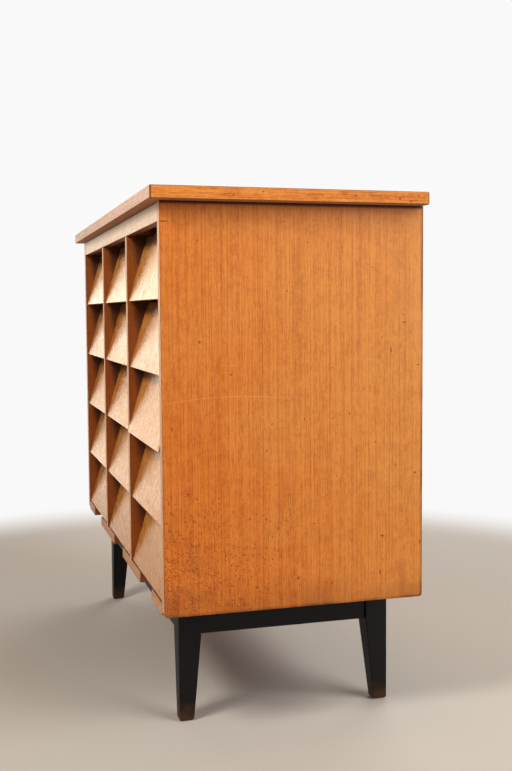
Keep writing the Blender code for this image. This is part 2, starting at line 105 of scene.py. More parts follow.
def aim(place, turn, rise, roll):
    """The matrix of a camera that turns left from +Y, rises from the horizon and then rolls."""
    forward = Vector((-math.sin(turn) * math.cos(rise), math.cos(turn) * math.cos(rise), math.sin(rise)))
    level = forward.cross(Vector((0, 0, 1))).normalized()
    upright = level.cross(forward)
    right = math.cos(roll) * level + math.sin(roll) * upright
    up = math.cos(roll) * upright - math.sin(roll) * level
    return Matrix.Translation(place) @ Matrix((right, up, -forward)).transposed().to_4x4()


camera = bpy.data.objects.new("camera", bpy.data.cameras.new("camera"))
camera.data.sensor_fit = "VERTICAL"
camera.data.sensor_height = SENSOR_HEIGHT
camera.data.lens = PICTURE_PLANE / PICTURE_HEIGHT * SENSOR_HEIGHT
camera.matrix_world = aim(CAMERA_PLACE, CAMERA_TURN, CAMERA_RISE, CAMERA_ROLL)
bpy.context.collection.objects.link(camera)
bpy.context.scene.camera = camera
bpy.context.scene.view_settings.view_transform = "Standard"
print(f"lens {camera.data.lens:.1f} mm")

# %% [markdown]
# Two helpers serve every finish. Wood and paint colours are easiest to pick as the hex codes that a screen
# shows, but Blender calculates with linear light, so one function turns the one into the other. The other
# helper adds a shader node. In the shader editor a node is added, set and wired by hand. Here one call does
# all three: it takes the kind of node, what feeds its inputs, and the node's own settings.

# %% Helpers for the finishes
def linear(code):
    """A hex colour as it shows on a screen, as the linear colour that Blender calculates with."""
    shares = [int(code[place:place + 2], 16) / 255 for place in (1, 3, 5)]
    return tuple(s / 12.92 if s <= 0.04045 else ((s + 0.055) / 1.055) ** 2.4 for s in shares) + (1.0,)


def node(tree, kind, feeds=None, **settings):
    """Adds a node with its settings, and feeds its inputs with values, other nodes or their outputs."""
    made = tree.nodes.new(kind)
    for name, value in settings.items():
        setattr(made, name, value)
    for place, value in (feeds or {}).items():
        if isinstance(value, bpy.types.Node):
            value = next(output for output in value.outputs if output.enabled)
        if isinstance(value, bpy.types.NodeSocket):
            tree.links.new(value, made.inputs[place])
        else:
            made.inputs[place].default_value = value
    return made


print("warm white as linear light:", [round(c, 3) for c in linear("#FFF6EC")])

# %% [markdown]
# The background is white, and light of strength 1 gives a plain white wherever the camera sees it. A white
# world would also flood the chest with light. So Light Path picks the rays that see the white. The camera
# sees all of it, and glass would too. Gloss sees half, because a real room is never white all round. All
# other rays see none of it, so it throws no light onto the chest.

# %% White background
BACKGROUND = linear("#FAF9F9")
GLOSS_SHARE = 0.5


def seen_rays(tree):
    """The share of the white background that a ray sees."""
    path = node(tree, "ShaderNodeLightPath")
    straight = node(tree, "ShaderNodeMath",
                    {0: path.outputs["Is Camera Ray"], 1: path.outputs["Is Transmission Ray"]},
                    operation="MAXIMUM")
    gloss = node(tree, "ShaderNodeMath", {0: path.outputs["Is Glossy Ray"], 1: GLOSS_SHARE},
                 operation="MULTIPLY")
    return node(tree, "ShaderNodeMath", {0: straight, 1: gloss}, operation="MAXIMUM")


print("gloss sees", GLOSS_SHARE, "of the white background")

# %% [markdown]
# The floor is plain pale paper, as in a studio, lit like everything else, so that it takes the chest's
# shadow. In a studio the paper curves up behind the object. A flat floor whose grey runs out into the white
# of the background looks the same from every side, and it never stands in the way of a camera behind the
# chest. Paper has no gloss, so a diffuse shader is all it needs.

# %% Floor
FLOOR_PAPER = linear("#C8C0B7")
FLOOR_REACH = 30.0
FLOOR_PLAIN_RADIUS = 1.25
FLOOR_WHITE_RADIUS = 1.75


def paper_floor():
    paper = bpy.data.materials.new("floor_paper")
    paper.use_nodes = True
    tree = paper.node_tree
    tree.nodes.clear()
    place = node(tree, "ShaderNodeTexCoord").outputs["Object"]
    far = node(tree, "ShaderNodeVectorMath", {0: place}, operation="LENGTH")
    out = node(tree, "ShaderNodeMapRange",
               {"Value": far, "From Min": FLOOR_PLAIN_RADIUS, "From Max": FLOOR_WHITE_RADIUS},
               interpolation_type="SMOOTHSTEP")
    white = node(tree, "ShaderNodeMath", {0: out, 1: seen_rays(tree)}, operation="MULTIPLY")
    near = node(tree, "ShaderNodeBsdfDiffuse", {"Color": FLOOR_PAPER})
    glow = node(tree, "ShaderNodeEmission", {"Color": BACKGROUND, "Strength": 1.0})
    both = node(tree, "ShaderNodeMixShader", {0: white, 1: near, 2: glow})
    node(tree, "ShaderNodeOutputMaterial", {"Surface": both})
    return paper


corners = [(x * FLOOR_REACH, y * FLOOR_REACH, 0) for x, y in ((-1, -1), (1, -1), (1, 1), (-1, 1))]
sheet = bpy.data.meshes.new("floor")
sheet.from_pydata(corners, [], [(0, 1, 2, 3)])
sheet.materials.append(paper_floor())
floor = bpy.data.objects.new("floor", sheet)
bpy.context.collection.objects.link(floor)
print("floor laid,", 2 * FLOOR_REACH, "m wide")

# %% [markdown]
# Light decides how the leaning fronts read. A soft window far to the left, low and only a little in front
# of the chest, glances off the lacquer, so that the fronts turn milky where they see it, and a pale wall
# below it fills in. A lamp high up in front throws the dark wedges under each front. A broad panel behind
# the right-hand end lights the side, and a second one does the same for the left side and the back.
#
# A picture of a real room, wrapped round the scene, could give all this at once. Area lamps say plainly
# where the light is, and each can be changed by itself. A large lamp throws soft shadows, so each has the
# size that its shadows ask for. Their strengths are set so that a colour comes out about as it is written.

# %% Lamps
CHEST_MIDDLE = Vector((0, 0, 0.6))
LAMPS = [("window", (-1.0, -0.22, 0.28), 4.2, 1.75, 13.5, "#FFF5E6"),
         ("pale_wall", (-1.0, -0.26, 0.03), 4.2, 2.2, 30, "#FFE6C4"),
         ("lamp", (1.2, -1.6, 1.45), 2.47, 0.7, 40, "#FFFAF2"),
         ("right_panel", (1.0, 0.95, 0.62), 3.6, 2.4, 103, "#FFFDFA"),
         ("left_panel", (-1.0, 0.75, 0.6), 3.6, 2.4, 80, "#FFFDFA")]


def soft_light(name, towards, distance, size, power, colour):
    """A square lamp of so many metres and watts that looks at the chest from the given direction."""
    towards = Vector(towards)
    lamp = bpy.data.lights.new(name, "AREA")
    lamp.shape = "SQUARE"
    lamp.size = size
    lamp.energy = power
    lamp.color = linear(colour)[:3]
    held = bpy.data.objects.new(name, lamp)
    held.location = CHEST_MIDDLE + towards.normalized() * distance
    held.rotation_mode = "QUATERNION"
    held.rotation_quaternion = (-towards).to_track_quat("-Z", "Y")
    bpy.context.collection.objects.link(held)
    return held


lights = [soft_light(*settings) for settings in LAMPS]
print("lights:", [light.name for light in lights])

# %% [markdown]
# White walls send some light back from everywhere. Real walls round the chest would do that, but they would
# also shut out the other views. A weak, even world stands in for them, a little stronger from above, where
# a room is brighter.

# %% World
WORLD_LIGHT = linear("#F4F6FA")
WORLD_LOW = 0.04
WORLD_HIGH = 0.12
WORLD_HIGH_FROM = 0.7

world = bpy.data.worlds.new("studio")
world.use_nodes = True
sky = world.node_tree
sky.nodes.clear()
direction = node(sky, "ShaderNodeTexCoord").outputs["Generated"]
upwards = node(sky, "ShaderNodeSeparateXYZ", {0: direction}).outputs["Z"]
strength = node(sky, "ShaderNodeMapRange",
                {"Value": upwards, "From Max": WORLD_HIGH_FROM, "To Min": WORLD_LOW, "To Max": WORLD_HIGH})
around = node(sky, "ShaderNodeBackground", {"Color": WORLD_LIGHT, "Strength": strength})
shown = node(sky, "ShaderNodeBackground", {"Color": BACKGROUND, "Strength": 1.0})
choice = node(sky, "ShaderNodeMixShader", {0: seen_rays(sky), 1: around, 2: shown})
node(sky, "ShaderNodeOutputWorld", {"Surface": choice})
bpy.context.scene.world = world
print("world made:", world.name)

# %% [markdown]
# Wood that was planed and sanded shows its open pores as short dark strokes along the grain. They could be
# modelled as dents, but a board has millions of them. A noise that is stretched along the grain and keeps
# only its lowest values has the same look. A real pore is a tenth or two of a millimetre wide, finer than a
# picture of the whole chest can show, so the strokes are drawn about ten times as wide, and paler to make
# up for it.

# %% Open pores
PORE_WIDTH = 1.4
PORE_LENGTH = 20.0
PORE_CLOSED = 0.46
PORE_OPEN = 0.28
ALONG_GRAIN = 100.0


def open_pores(tree, place, spacing, share, seed):
    """share in the middle of a pore, and 0 between pores. spacing is that of the wood figure."""
    sizes = [PORE_LENGTH if size > ALONG_GRAIN else PORE_WIDTH for size in spacing]
    stretched = node(tree, "ShaderNodeVectorMath", {0: place, 1: [1 / (size * MM) for size in sizes]},
                     operation="MULTIPLY")
    strokes = node(tree, "ShaderNodeTexNoise", {"Vector": stretched, "W": seed, "Scale": 1.0, "Detail": 0.0},
                   noise_dimensions="4D")
    return node(tree, "ShaderNodeMapRange",
                {"Value": strokes, "From Min": PORE_CLOSED, "From Max": PORE_OPEN, "To Max": share},
                interpolation_type="SMOOTHSTEP")


print("pores are drawn", PORE_WIDTH, "mm wide and", PORE_LENGTH, "mm long")

# %% [markdown]
# All the wood here was cut so that its figure runs straight: bands two fingers wide, within them the year
# lines, and between those the fibre. A picture of wood could be wrapped round each board, but it would show
# seams and repeats. A noise stretched along the grain shows neither, and it runs on round the edges of a
# board as real grain does. So three such noises are added up, one for each size, and a colour ramp turns
# their sum into dark and pale wood. A fourth noise, which isn't stretched, gives the cloudy shimmer of
# fibre that waves a little.
#
# The function returns the colour, and a height for the bump, so that every piece of wood can use it. Real
# fibre is finer than a picture of the chest can show, so it is drawn at half the spacing of the year lines.

# %% Wood figure
BAND_SCALE = 0.12
FIBRE_SCALE = 2.0
FIGURE_LAYERS = [(BAND_SCALE, 0.22), (1.0, 0.34), (FIBRE_SCALE, 0.54)]
LAYER_STEP = 4.7
MOTTLE_SIZE = 24.0
MOTTLE = 0.66
STOP_PLACES = [0.36, 0.46, 0.54, 0.64]
PORE_TONE = linear("#B97F50")
PORE_DEPTH = 1.5


def wood_figure(tree, place, spacing, tones, pores, seed):
    """The colour and the height of straight-grained wood.

    spacing is how far apart the year lines lie along x, y and z, in millimetres, so its longest number is
    the way the grain runs. tones are four hex colours from dark to pale, and pores says how strongly the
    pores show.
    """
    grain = node(tree, "ShaderNodeVectorMath", {0: place, 1: [1 / (size * MM) for size in spacing]},
                 operation="MULTIPLY")
    clouds = node(tree, "ShaderNodeTexNoise",
                  {"Vector": place, "Scale": 1 / (MOTTLE_SIZE * MM), "Detail": 4.0, "Roughness": 1.0})
    figure = node(tree, "ShaderNodeMath", {0: clouds, 1: MOTTLE, 2: -MOTTLE / 2}, operation="MULTIPLY_ADD")
    for number, (scale, share) in enumerate(FIGURE_LAYERS):
        layer = node(tree, "ShaderNodeTexNoise",
                     {"Vector": grain, "W": seed + LAYER_STEP * number, "Scale": scale, "Detail": 1.5},
                     noise_dimensions="4D")
        figure = node(tree, "ShaderNodeMath", {0: layer, 1: share, 2: figure}, operation="MULTIPLY_ADD")
    ramp = node(tree, "ShaderNodeValToRGB", {0: figure})
    stops = ramp.color_ramp.elements
    stops[0].position, stops[1].position = STOP_PLACES[:2]
    for position in STOP_PLACES[2:]:
        stops.new(position)
    for stop, tone in zip(stops, tones):
        stop.color = linear(tone)
    holes = open_pores(tree, place, spacing, pores, seed)
    colour = node(tree, "ShaderNodeMix", {0: holes, 6: ramp, 7: PORE_TONE},
                  data_type="RGBA", blend_type="MULTIPLY")
    # The last layer is the fibre, the finest of the three, so it makes the fine relief.
    height = node(tree, "ShaderNodeMath", {0: layer, 1: clouds}, operation="ADD")
    height = node(tree, "ShaderNodeMath", {0: holes, 1: -PORE_DEPTH, 2: height}, operation="MULTIPLY_ADD")
    return colour, height


print("bands are", round(1 / BAND_SCALE), "year lines wide")

# %% [markdown]
# One board can have several finishes: veneer on its face, solid wood on its edge. They could be separate
# pieces, but veneer is half a millimetre thick and only its colour shows. So masks tell the faces apart.
# One mask says which way a surface faces. The other finds the rounded edges, which face between two axes. On
# the black lacquer hands and cloths have worn them, and on the wood they take a dark line.

# %% Masks for faces and edges
TURNED_AWAY = 0.6
TURNED_TO = 0.8
FLAT_FACE = 0.97
ROUND_EDGE = 0.90


def facing(tree, normal, way):
    """1 where the surface faces the given way, 0 where it turns more than about 50 degrees from it."""
    towards = node(tree, "ShaderNodeVectorMath", {0: normal, 1: way}, operation="DOT_PRODUCT")
    return node(tree, "ShaderNodeMapRange",
                {"Value": towards, "From Min": TURNED_AWAY, "From Max": TURNED_TO})


def rounded_edges(tree, normal, share):
    """share on the rounded edges, and 0 on the flat faces."""
    either_way = node(tree, "ShaderNodeVectorMath", {0: normal}, operation="ABSOLUTE")
    parts = node(tree, "ShaderNodeSeparateXYZ", {0: either_way})
    most = node(tree, "ShaderNodeMath", {0: parts.outputs["X"], 1: parts.outputs["Y"]}, operation="MAXIMUM")
    most = node(tree, "ShaderNodeMath", {0: most, 1: parts.outputs["Z"]}, operation="MAXIMUM")
    return node(tree, "ShaderNodeMapRange",
                {"Value": most, "From Min": FLAT_FACE, "From Max": ROUND_EDGE, "To Max": share})


print("a mask shows from", round(math.degrees(math.acos(TURNED_AWAY))), "degrees away")

# %% [markdown]
# Every wooden finish starts and ends the same way. It starts from the place on the object, in metres, so
# that a pattern keeps its real size and rides along when a drawer slides. It ends in a Principled shader,
# where the wood's colour comes together with a bump a few hundredths of a millimetre deep. Satin lacquer
# and varnish bend light like most clear plastics, with an index of refraction of about 1.5, and flatting
# them with fine dust gives a roughness near 0.45.

# %% Start and end of a finish
LACQUER_IOR = 1.5
SATIN = 0.45


def begin(name):
    """A new material: itself, its node tree, the place on the object and the way the surface faces."""
    finish = bpy.data.materials.new(name)
    finish.use_nodes = True
    finish.node_tree.nodes.clear()
    where = node(finish.node_tree, "ShaderNodeTexCoord")
    return finish, finish.node_tree, where.outputs["Object"], where.outputs["Normal"]


def finish_wood(tree, colour, height, roughness, gloss, relief):
    """Ends a wooden material, whose surface rises and falls by the relief in millimetres."""
    bump = node(tree, "ShaderNodeBump", {"Height": height, "Distance": relief * MM, "Strength": 1.0})
    skin = node(tree, "ShaderNodeBsdfPrincipled",
                {"Base Color": colour, "Roughness": roughness, "IOR": LACQUER_IOR,
                 "Specular IOR Level": gloss, "Normal": bump})
    node(tree, "ShaderNodeOutputMaterial", {"Surface": skin})


print("lacquer bends light by", LACQUER_IOR)

# %% [markdown]
# Years of use have left marks on the side that stands open to the room, and each kind gets the plainest
# mask that draws it. The single knocks are few, so they are a list: how far each lies behind the front edge
# and above the lower edge, and half its width and height, all in millimetres. A knock could be a dent in
# the mesh, but at this size only its dirt shows. The mask measures the distance to the nearest knock,
# counted in those halves, and a fine noise bends the place first, so that no knock comes out round.

# %% Knocks
KNOCKS = [(64, 635, 1.5, 1.9), (20, 559, 1.2, 2.0), (66, 466, 2.7, 3.0), (120, 410, 3.2, 1.9),
          (320, 626, 1.6, 1.6), (438, 496, 4.2, 1.7), (449, 478, 1.6, 1.6), (412, 447, 2.1, 5.2),
          (464, 420, 3.4, 1.4), (360, 380, 1.5, 2.6), (302, 418, 1.6, 2.0), (17, 321, 1.9, 4.8),
          (44, 210, 3.3, 2.0), (182, 278, 1.8, 1.8), (151, 161, 2.1, 2.1), (202, 142, 2.0, 3.4),
          (224, 165, 1.8, 1.9), (163, 41, 3.2, 2.4), (128, 11, 1.9, 2.4), (207, 17, 2.2, 2.6),
          (239, 52, 2.3, 3.2), (383, 285, 1.9, 2.6), (396, 116, 4.4, 2.4), (392, 51, 2.2, 5.2),
          (334, 337, 1.5, 2.6), (459, 227, 4.2, 1.9), (421, 243, 1.4, 1.6), (301, 38, 1.9, 2.1),
          (268, 146, 2.6, 1.6), (469, 100, 2.2, 4.0)]
KNOCK_TONE = linear("#863A04")
KNOCK_SHARE = 0.9
KNOCK_BEND = 2.4
KNOCK_OUTSIDE = 1.15
KNOCK_INSIDE = 0.35
FAR_AWAY = 10.0


def nearest_knock(tree, flat, knocks, lower_edge, share):
    """share inside the knocks of the list. flat is the place as y and z."""
    bend = KNOCK_BEND * MM
    rough = node(tree, "ShaderNodeTexNoise", {"Vector": flat, "Scale": 1 / bend, "Detail": 1.0})
    bent = node(tree, "ShaderNodeVectorMath", {0: rough.outputs["Color"], 1: [bend, bend, 0], 2: flat},
                operation="MULTIPLY_ADD")
    nearest = FAR_AWAY
    for behind, above, half_width, half_height in knocks:
        fit = (1 / (half_width * MM), 1 / (half_height * MM), 0)
        # The noise is a half on average, so the middle moves along by half a bend.
        middle = (front_y + behind * MM + bend / 2, lower_edge + above * MM + bend / 2, 0)
        back_to_middle = [-m * f for m, f in zip(middle, fit)]
        sized = node(tree, "ShaderNodeVectorMath", {0: bent, 1: fit, 2: back_to_middle},
                     operation="MULTIPLY_ADD")
        apart = node(tree, "ShaderNodeVectorMath", {0: sized}, operation="LENGTH")
        nearest = node(tree, "ShaderNodeMath", {0: nearest, 1: apart}, operation="MINIMUM")
    return node(tree, "ShaderNodeMapRange",
                {"Value": nearest, "From Min": KNOCK_OUTSIDE, "From Max": KNOCK_INSIDE, "To Max": share},
                interpolation_type="SMOOTHSTEP")


print(len(KNOCKS), "knocks on the side")

# %% [markdown]
# Low down at the front, where shoes and brooms hit the side, small specks lie too close together to list.
# They are cells of a Voronoi texture, a few millimetres apart. Each cell has a random colour, which decides
# whether its speck shows and how large it is. How many show depends on a second mask, which is full in the
# lower front corner and falls off upwards and rearwards in clouds.

# %% Specks in the lower front corner
CORNER_HEIGHTS = (225, 70)
CORNER_DEPTHS = (340, 15)
CORNER_FALL = 2.6
CORNER_CLOUD = 33.0
# Between its two levels, the value of a noise fades a cloud or a patch in.
CORNER_CLOUD_LEVELS = (0.35, 0.6)
CORNER_LEAST = 0.25
SPECK_SPACING = 3.5
SPECK_SIZES = (0.14, 0.5)
SPECK_FEW = 0.002
SPECK_MANY = 0.9
SPECK_OUTSIDE = 1.2
SPECK_INSIDE = 0.4
SPECK_SHARE = 0.9
SPECK_TONE = linear("#7C3406")


def front_corner(tree, flat, behind, above):
    """Up to 1 low down at the front of the side, and less and less upwards and rearwards."""
    empty, full = CORNER_HEIGHTS
    low = node(tree, "ShaderNodeMapRange", {"Value": above, "From Min": empty * MM, "From Max": full * MM})
    empty, full = CORNER_DEPTHS
    near = node(tree, "ShaderNodeMapRange", {"Value": behind, "From Min": empty * MM, "From Max": full * MM})
    near = node(tree, "ShaderNodeMath", {0: near, 1: CORNER_FALL}, operation="POWER")
    clouds = node(tree, "ShaderNodeTexNoise",
                  {"Vector": flat, "Scale": 1 / (CORNER_CLOUD * MM), "Detail": 2.0})
    least, most = CORNER_CLOUD_LEVELS
    clouds = node(tree, "ShaderNodeMapRange",
                  {"Value": clouds, "From Min": least, "From Max": most, "To Min": CORNER_LEAST})
    corner = node(tree, "ShaderNodeMath", {0: low, 1: near}, operation="MULTIPLY")
    return node(tree, "ShaderNodeMath", {0: corner, 1: clouds}, operation="MULTIPLY")


def specks(tree, flat, corner):
    """SPECK_SHARE inside small specks, which lie closest together where corner is 1."""
    cells = node(tree, "ShaderNodeTexVoronoi", {"Vector": flat, "Scale": 1 / (SPECK_SPACING * MM)},
                 voronoi_dimensions="2D")
    lot = node(tree, "ShaderNodeSeparateColor", {0: cells.outputs["Color"]})
    many = node(tree, "ShaderNodeMath", {0: corner, 1: SPECK_MANY - SPECK_FEW, 2: SPECK_FEW},
                operation="MULTIPLY_ADD")
    shown = node(tree, "ShaderNodeMath", {0: lot.outputs["Red"], 1: many}, operation="LESS_THAN")
    size = node(tree, "ShaderNodeMapRange",
                {"Value": lot.outputs["Green"], "To Min": SPECK_SIZES[0], "To Max": SPECK_SIZES[1]})
    inside = node(tree, "ShaderNodeMath", {0: cells.outputs["Distance"], 1: size}, operation="DIVIDE")
    spot = node(tree, "ShaderNodeMapRange",
                {"Value": inside, "From Min": SPECK_OUTSIDE, "From Max": SPECK_INSIDE,
                 "To Max": SPECK_SHARE})
    return node(tree, "ShaderNodeMath", {0: spot, 1: shown}, operation="MULTIPLY")


print("specks lie", SPECK_SPACING, "mm apart where they are densest")

# %% [markdown]
# A scratch turns lacquer pale, because the rough groove scatters light, and where two leaves of veneer meet
# there is a thin dark seam. Each could be a narrow strip of mesh, but as a mask it stays part of the board.
# A stroke is a band beside a line where some measure is 0, cut off at two ends. Straight strokes measure a
# height or a depth. The long scratch is an arc, so its measure drops with the square of the distance from
# its middle.

# %% Strokes and scratches
STROKE_CORE = 1 / 3
STROKE_TAPER = 0.7
ARC_WIDTH = 1.0
ARC_ABOVE = 373.0
ARC_MIDDLE = 125.0
ARC_BEND = 0.7
ARC_ENDS = (-20, 240)
SCRATCH_WIDTH = 0.8
LEVEL_ABOVE = 426.0
LEVEL_ENDS = (98, 139)
UPRIGHT_BEHIND = 289.0
UPRIGHT_ENDS = (597, 645)
SCRATCH_SHARE = 0.28
SCRATCH_TONE = linear("#F0AE6E")


def stroke(tree, across, along, width, ends, share):
    """share where across is 0, fading out width millimetres to each side and towards the two ends."""
    beside = node(tree, "ShaderNodeMath", {0: across}, operation="ABSOLUTE")
    band = node(tree, "ShaderNodeMapRange",
                {"Value": beside, "From Min": width * MM, "From Max": width * MM * STROKE_CORE,
                 "To Max": share})
    middle = node(tree, "ShaderNodeMath", {0: along, 1: sum(ends) / 2 * MM}, operation="SUBTRACT")
    apart = node(tree, "ShaderNodeMath", {0: middle}, operation="ABSOLUTE")
    half = (ends[1] - ends[0]) / 2 * MM
    within = node(tree, "ShaderNodeMapRange",
                  {"Value": apart, "From Min": half, "From Max": half * STROKE_TAPER})
    return node(tree, "ShaderNodeMath", {0: band, 1: within}, operation="MULTIPLY")


def scratches(tree, behind, above):
    """SCRATCH_SHARE on three pale scratches: a long arc, a level one and an upright one."""
    aside = node(tree, "ShaderNodeMath", {0: behind, 1: ARC_MIDDLE * MM}, operation="SUBTRACT")
    square = node(tree, "ShaderNodeMath", {0: aside, 1: aside}, operation="MULTIPLY")
    higher = node(tree, "ShaderNodeMath", {0: above, 1: ARC_ABOVE * MM}, operation="SUBTRACT")
    arc = node(tree, "ShaderNodeMath", {0: square, 1: ARC_BEND, 2: higher}, operation="MULTIPLY_ADD")
    level = node(tree, "ShaderNodeMath", {0: above, 1: LEVEL_ABOVE * MM}, operation="SUBTRACT")
    upright = node(tree, "ShaderNodeMath", {0: behind, 1: UPRIGHT_BEHIND * MM}, operation="SUBTRACT")
    pale = stroke(tree, arc, behind, ARC_WIDTH, ARC_ENDS, SCRATCH_SHARE)
    for across, along, ends in [(level, behind, LEVEL_ENDS), (upright, above, UPRIGHT_ENDS)]:
        straight = stroke(tree, across, along, SCRATCH_WIDTH, ends, SCRATCH_SHARE)
        pale = node(tree, "ShaderNodeMath", {0: pale, 1: straight}, operation="MAXIMUM")
    return pale


print("the arc is", ARC_ENDS[1] - ARC_ENDS[0], "mm long")

# %% [markdown]
# The sides, the dividers and the top board are teak: veneer sliced from straight logs, sanded and lacquered
# satin. To the eye that is a warm orange brown with soft lines about 3 mm apart and fine dark pores, under
# a low sheen. The colour could be one even pattern, but daylight has worked on it for years. So a slow
# noise and a drift rearwards and upwards tint it between redder and yellower, and the palest places take on
# a light haze.

# %% Aged teak
TEAK = ["#C46824", "#D3772A", "#DD8230", "#E78F3B"]
TEAK_PORES = 0.3
DRIFT_SIZE = 200.0
REARWARD_DRIFT = (-0.45, 0.3)
UPWARD_DRIFT = (-0.12, 0.12)
TEAK_REDDER = linear("#F4E2CC")
TEAK_YELLOWER = linear("#F5FFFF")
TEAK_HAZE = linear("#E8AB66")
HAZE_SHARE = 0.22


def aged_teak(tree, place, spacing, seed):
    """Teak colour and height with the slow drift of tone that years of daylight give."""
    colour, height = wood_figure(tree, place, spacing, TEAK, TEAK_PORES, seed)
    share = node(tree, "ShaderNodeTexNoise", {"Vector": place, "Scale": 1 / (DRIFT_SIZE * MM), "Detail": 2.0})
    parts = node(tree, "ShaderNodeSeparateXYZ", {0: place})
    for way, start, end, (least, most) in [("Y", front_y, rear_y, REARWARD_DRIFT),
                                           ("Z", carcass_low, carcass_top, UPWARD_DRIFT)]:
        drift = node(tree, "ShaderNodeMapRange",
                     {"Value": parts.outputs[way], "From Min": start, "From Max": end, "To Min": least,
                      "To Max": most})
        share = node(tree, "ShaderNodeMath", {0: share, 1: drift}, operation="ADD")
    # Only the last sum is clamped, so that the two drifts can make up for each other.
    share.use_clamp = True
    tint = node(tree, "ShaderNodeMix", {0: share, 6: TEAK_REDDER, 7: TEAK_YELLOWER}, data_type="RGBA")
    colour = node(tree, "ShaderNodeMix", {0: 1.0, 6: colour, 7: tint},
                  data_type="RGBA", blend_type="MULTIPLY")
    faded = node(tree, "ShaderNodeMath", {0: share, 1: HAZE_SHARE}, operation="MULTIPLY")
    return node(tree, "ShaderNodeMix", {0: faded, 6: colour, 7: TEAK_HAZE}, data_type="RGBA"), height


print("the tone drifts over", DRIFT_SIZE, "mm")

# %% [markdown]
# On the right-hand side all the marks lie over one another, as they came about: smears and specks of dirt,
# the knocks, the seam between two leaves of veneer, the scratches, and a short crack at the front edge.
# Each is one mix of the colour below with the mark's own tone, so a mark can be changed or left out without
# touching the others.

# %% Marks on the side
SMEAR_SIZE = 38.0
SMEAR_LEVELS = (0.42, 0.75)
SMEAR_SHARE = 0.55
# The brown of dirt smears, also used for the painted shade under the top board.
DIRT_AND_SHADE_TONE = linear("#8F4A1B")
SEAM_BEHIND = 99.0
SEAM_LEAN = 0.0097
SEAM_WIDTH = 0.9
SEAM_ENDS = (-200, 900)
SEAM_SHARE = 0.3
SEAM_TONE = linear("#7E3F16")
CRACK_ABOVE = 666.0
CRACK_WIDTH = 1.4
CRACK_ENDS = (-14, 16)


def marked_side(tree, place, colour):
    """Lays the marks of use over the colour of the right-hand side."""
    parts = node(tree, "ShaderNodeSeparateXYZ", {0: place})
    flat = node(tree, "ShaderNodeCombineXYZ", {0: parts.outputs["Y"], 1: parts.outputs["Z"]})
    behind = node(tree, "ShaderNodeMath", {0: parts.outputs["Y"], 1: front_y}, operation="SUBTRACT")
    above = node(tree, "ShaderNodeMath", {0: parts.outputs["Z"], 1: carcass_low}, operation="SUBTRACT")
    corner = front_corner(tree, flat, behind, above)
    smears = node(tree, "ShaderNodeTexNoise", {"Vector": flat, "Scale": 1 / (SMEAR_SIZE * MM), "Detail": 3.0})
    least, most = SMEAR_LEVELS
    smears = node(tree, "ShaderNodeMapRange",
                  {"Value": smears, "From Min": least, "From Max": most, "To Max": SMEAR_SHARE})
    smears = node(tree, "ShaderNodeMath", {0: smears, 1: corner}, operation="MULTIPLY")
    seam = node(tree, "ShaderNodeMath", {0: above, 1: SEAM_LEAN, 2: SEAM_BEHIND * MM},
                operation="MULTIPLY_ADD")
    seam = node(tree, "ShaderNodeMath", {0: behind, 1: seam}, operation="SUBTRACT")
    crack = node(tree, "ShaderNodeMath", {0: above, 1: CRACK_ABOVE * MM}, operation="SUBTRACT")
    marks = [(smears, DIRT_AND_SHADE_TONE),
             (specks(tree, flat, corner), SPECK_TONE),
             (nearest_knock(tree, flat, KNOCKS, carcass_low, KNOCK_SHARE), KNOCK_TONE),
             (stroke(tree, seam, above, SEAM_WIDTH, SEAM_ENDS, SEAM_SHARE), SEAM_TONE),
             (scratches(tree, behind, above), SCRATCH_TONE),
             (stroke(tree, crack, behind, CRACK_WIDTH, CRACK_ENDS, 1.0), KNOCK_TONE)]
    for mask, tone in marks:
        colour = node(tree, "ShaderNodeMix", {0: mask, 6: colour, 7: tone}, data_type="RGBA")
    return colour


print("the seam in the veneer lies", SEAM_BEHIND, "mm behind the front edge")

# %% [markdown]
# Dust and old polish gather where a cloth doesn't reach. They have blackened the rims along the rear and
# lower edges, and a band above the lower edge has a little of them too. Under the top board the colour is
# painted shade: a near-black line along the joint, a dark joint deepened by painted shadow, and below it a
# soft brown haze, the painted shadow of the top's overhang. Dirt and shade could be painted on with masks
# made by hand. Distances from the edges do the same from plain numbers, and clouds of noise keep the borders
# from looking ruled.

# %% Dirt and painted shade at the borders
JOINT_BLACK = linear("#1C0F09")
# Painted shade under the top's overhang: a soft brown haze and a near-black line at the joint.
JOINT_SHADE = [(24.0, 2.0, 0.5, DIRT_AND_SHADE_TONE), (6.0, 0.7, 0.95, JOINT_BLACK)]
JOINT_FULL = 2.0
BORDER_DIRT = 6.0
BORDER_FULL = 1.0
BORDER_SHARE = 0.85
BORDER_CLOUD = 56.0
BORDER_CLOUD_LEVELS = (0.35, 0.65)
BORDER_LEAST = 0.3
EDGE_LINE = linear("#55290F")
SWEPT_BAND = 60.0
SWEPT_SHARE = 0.6


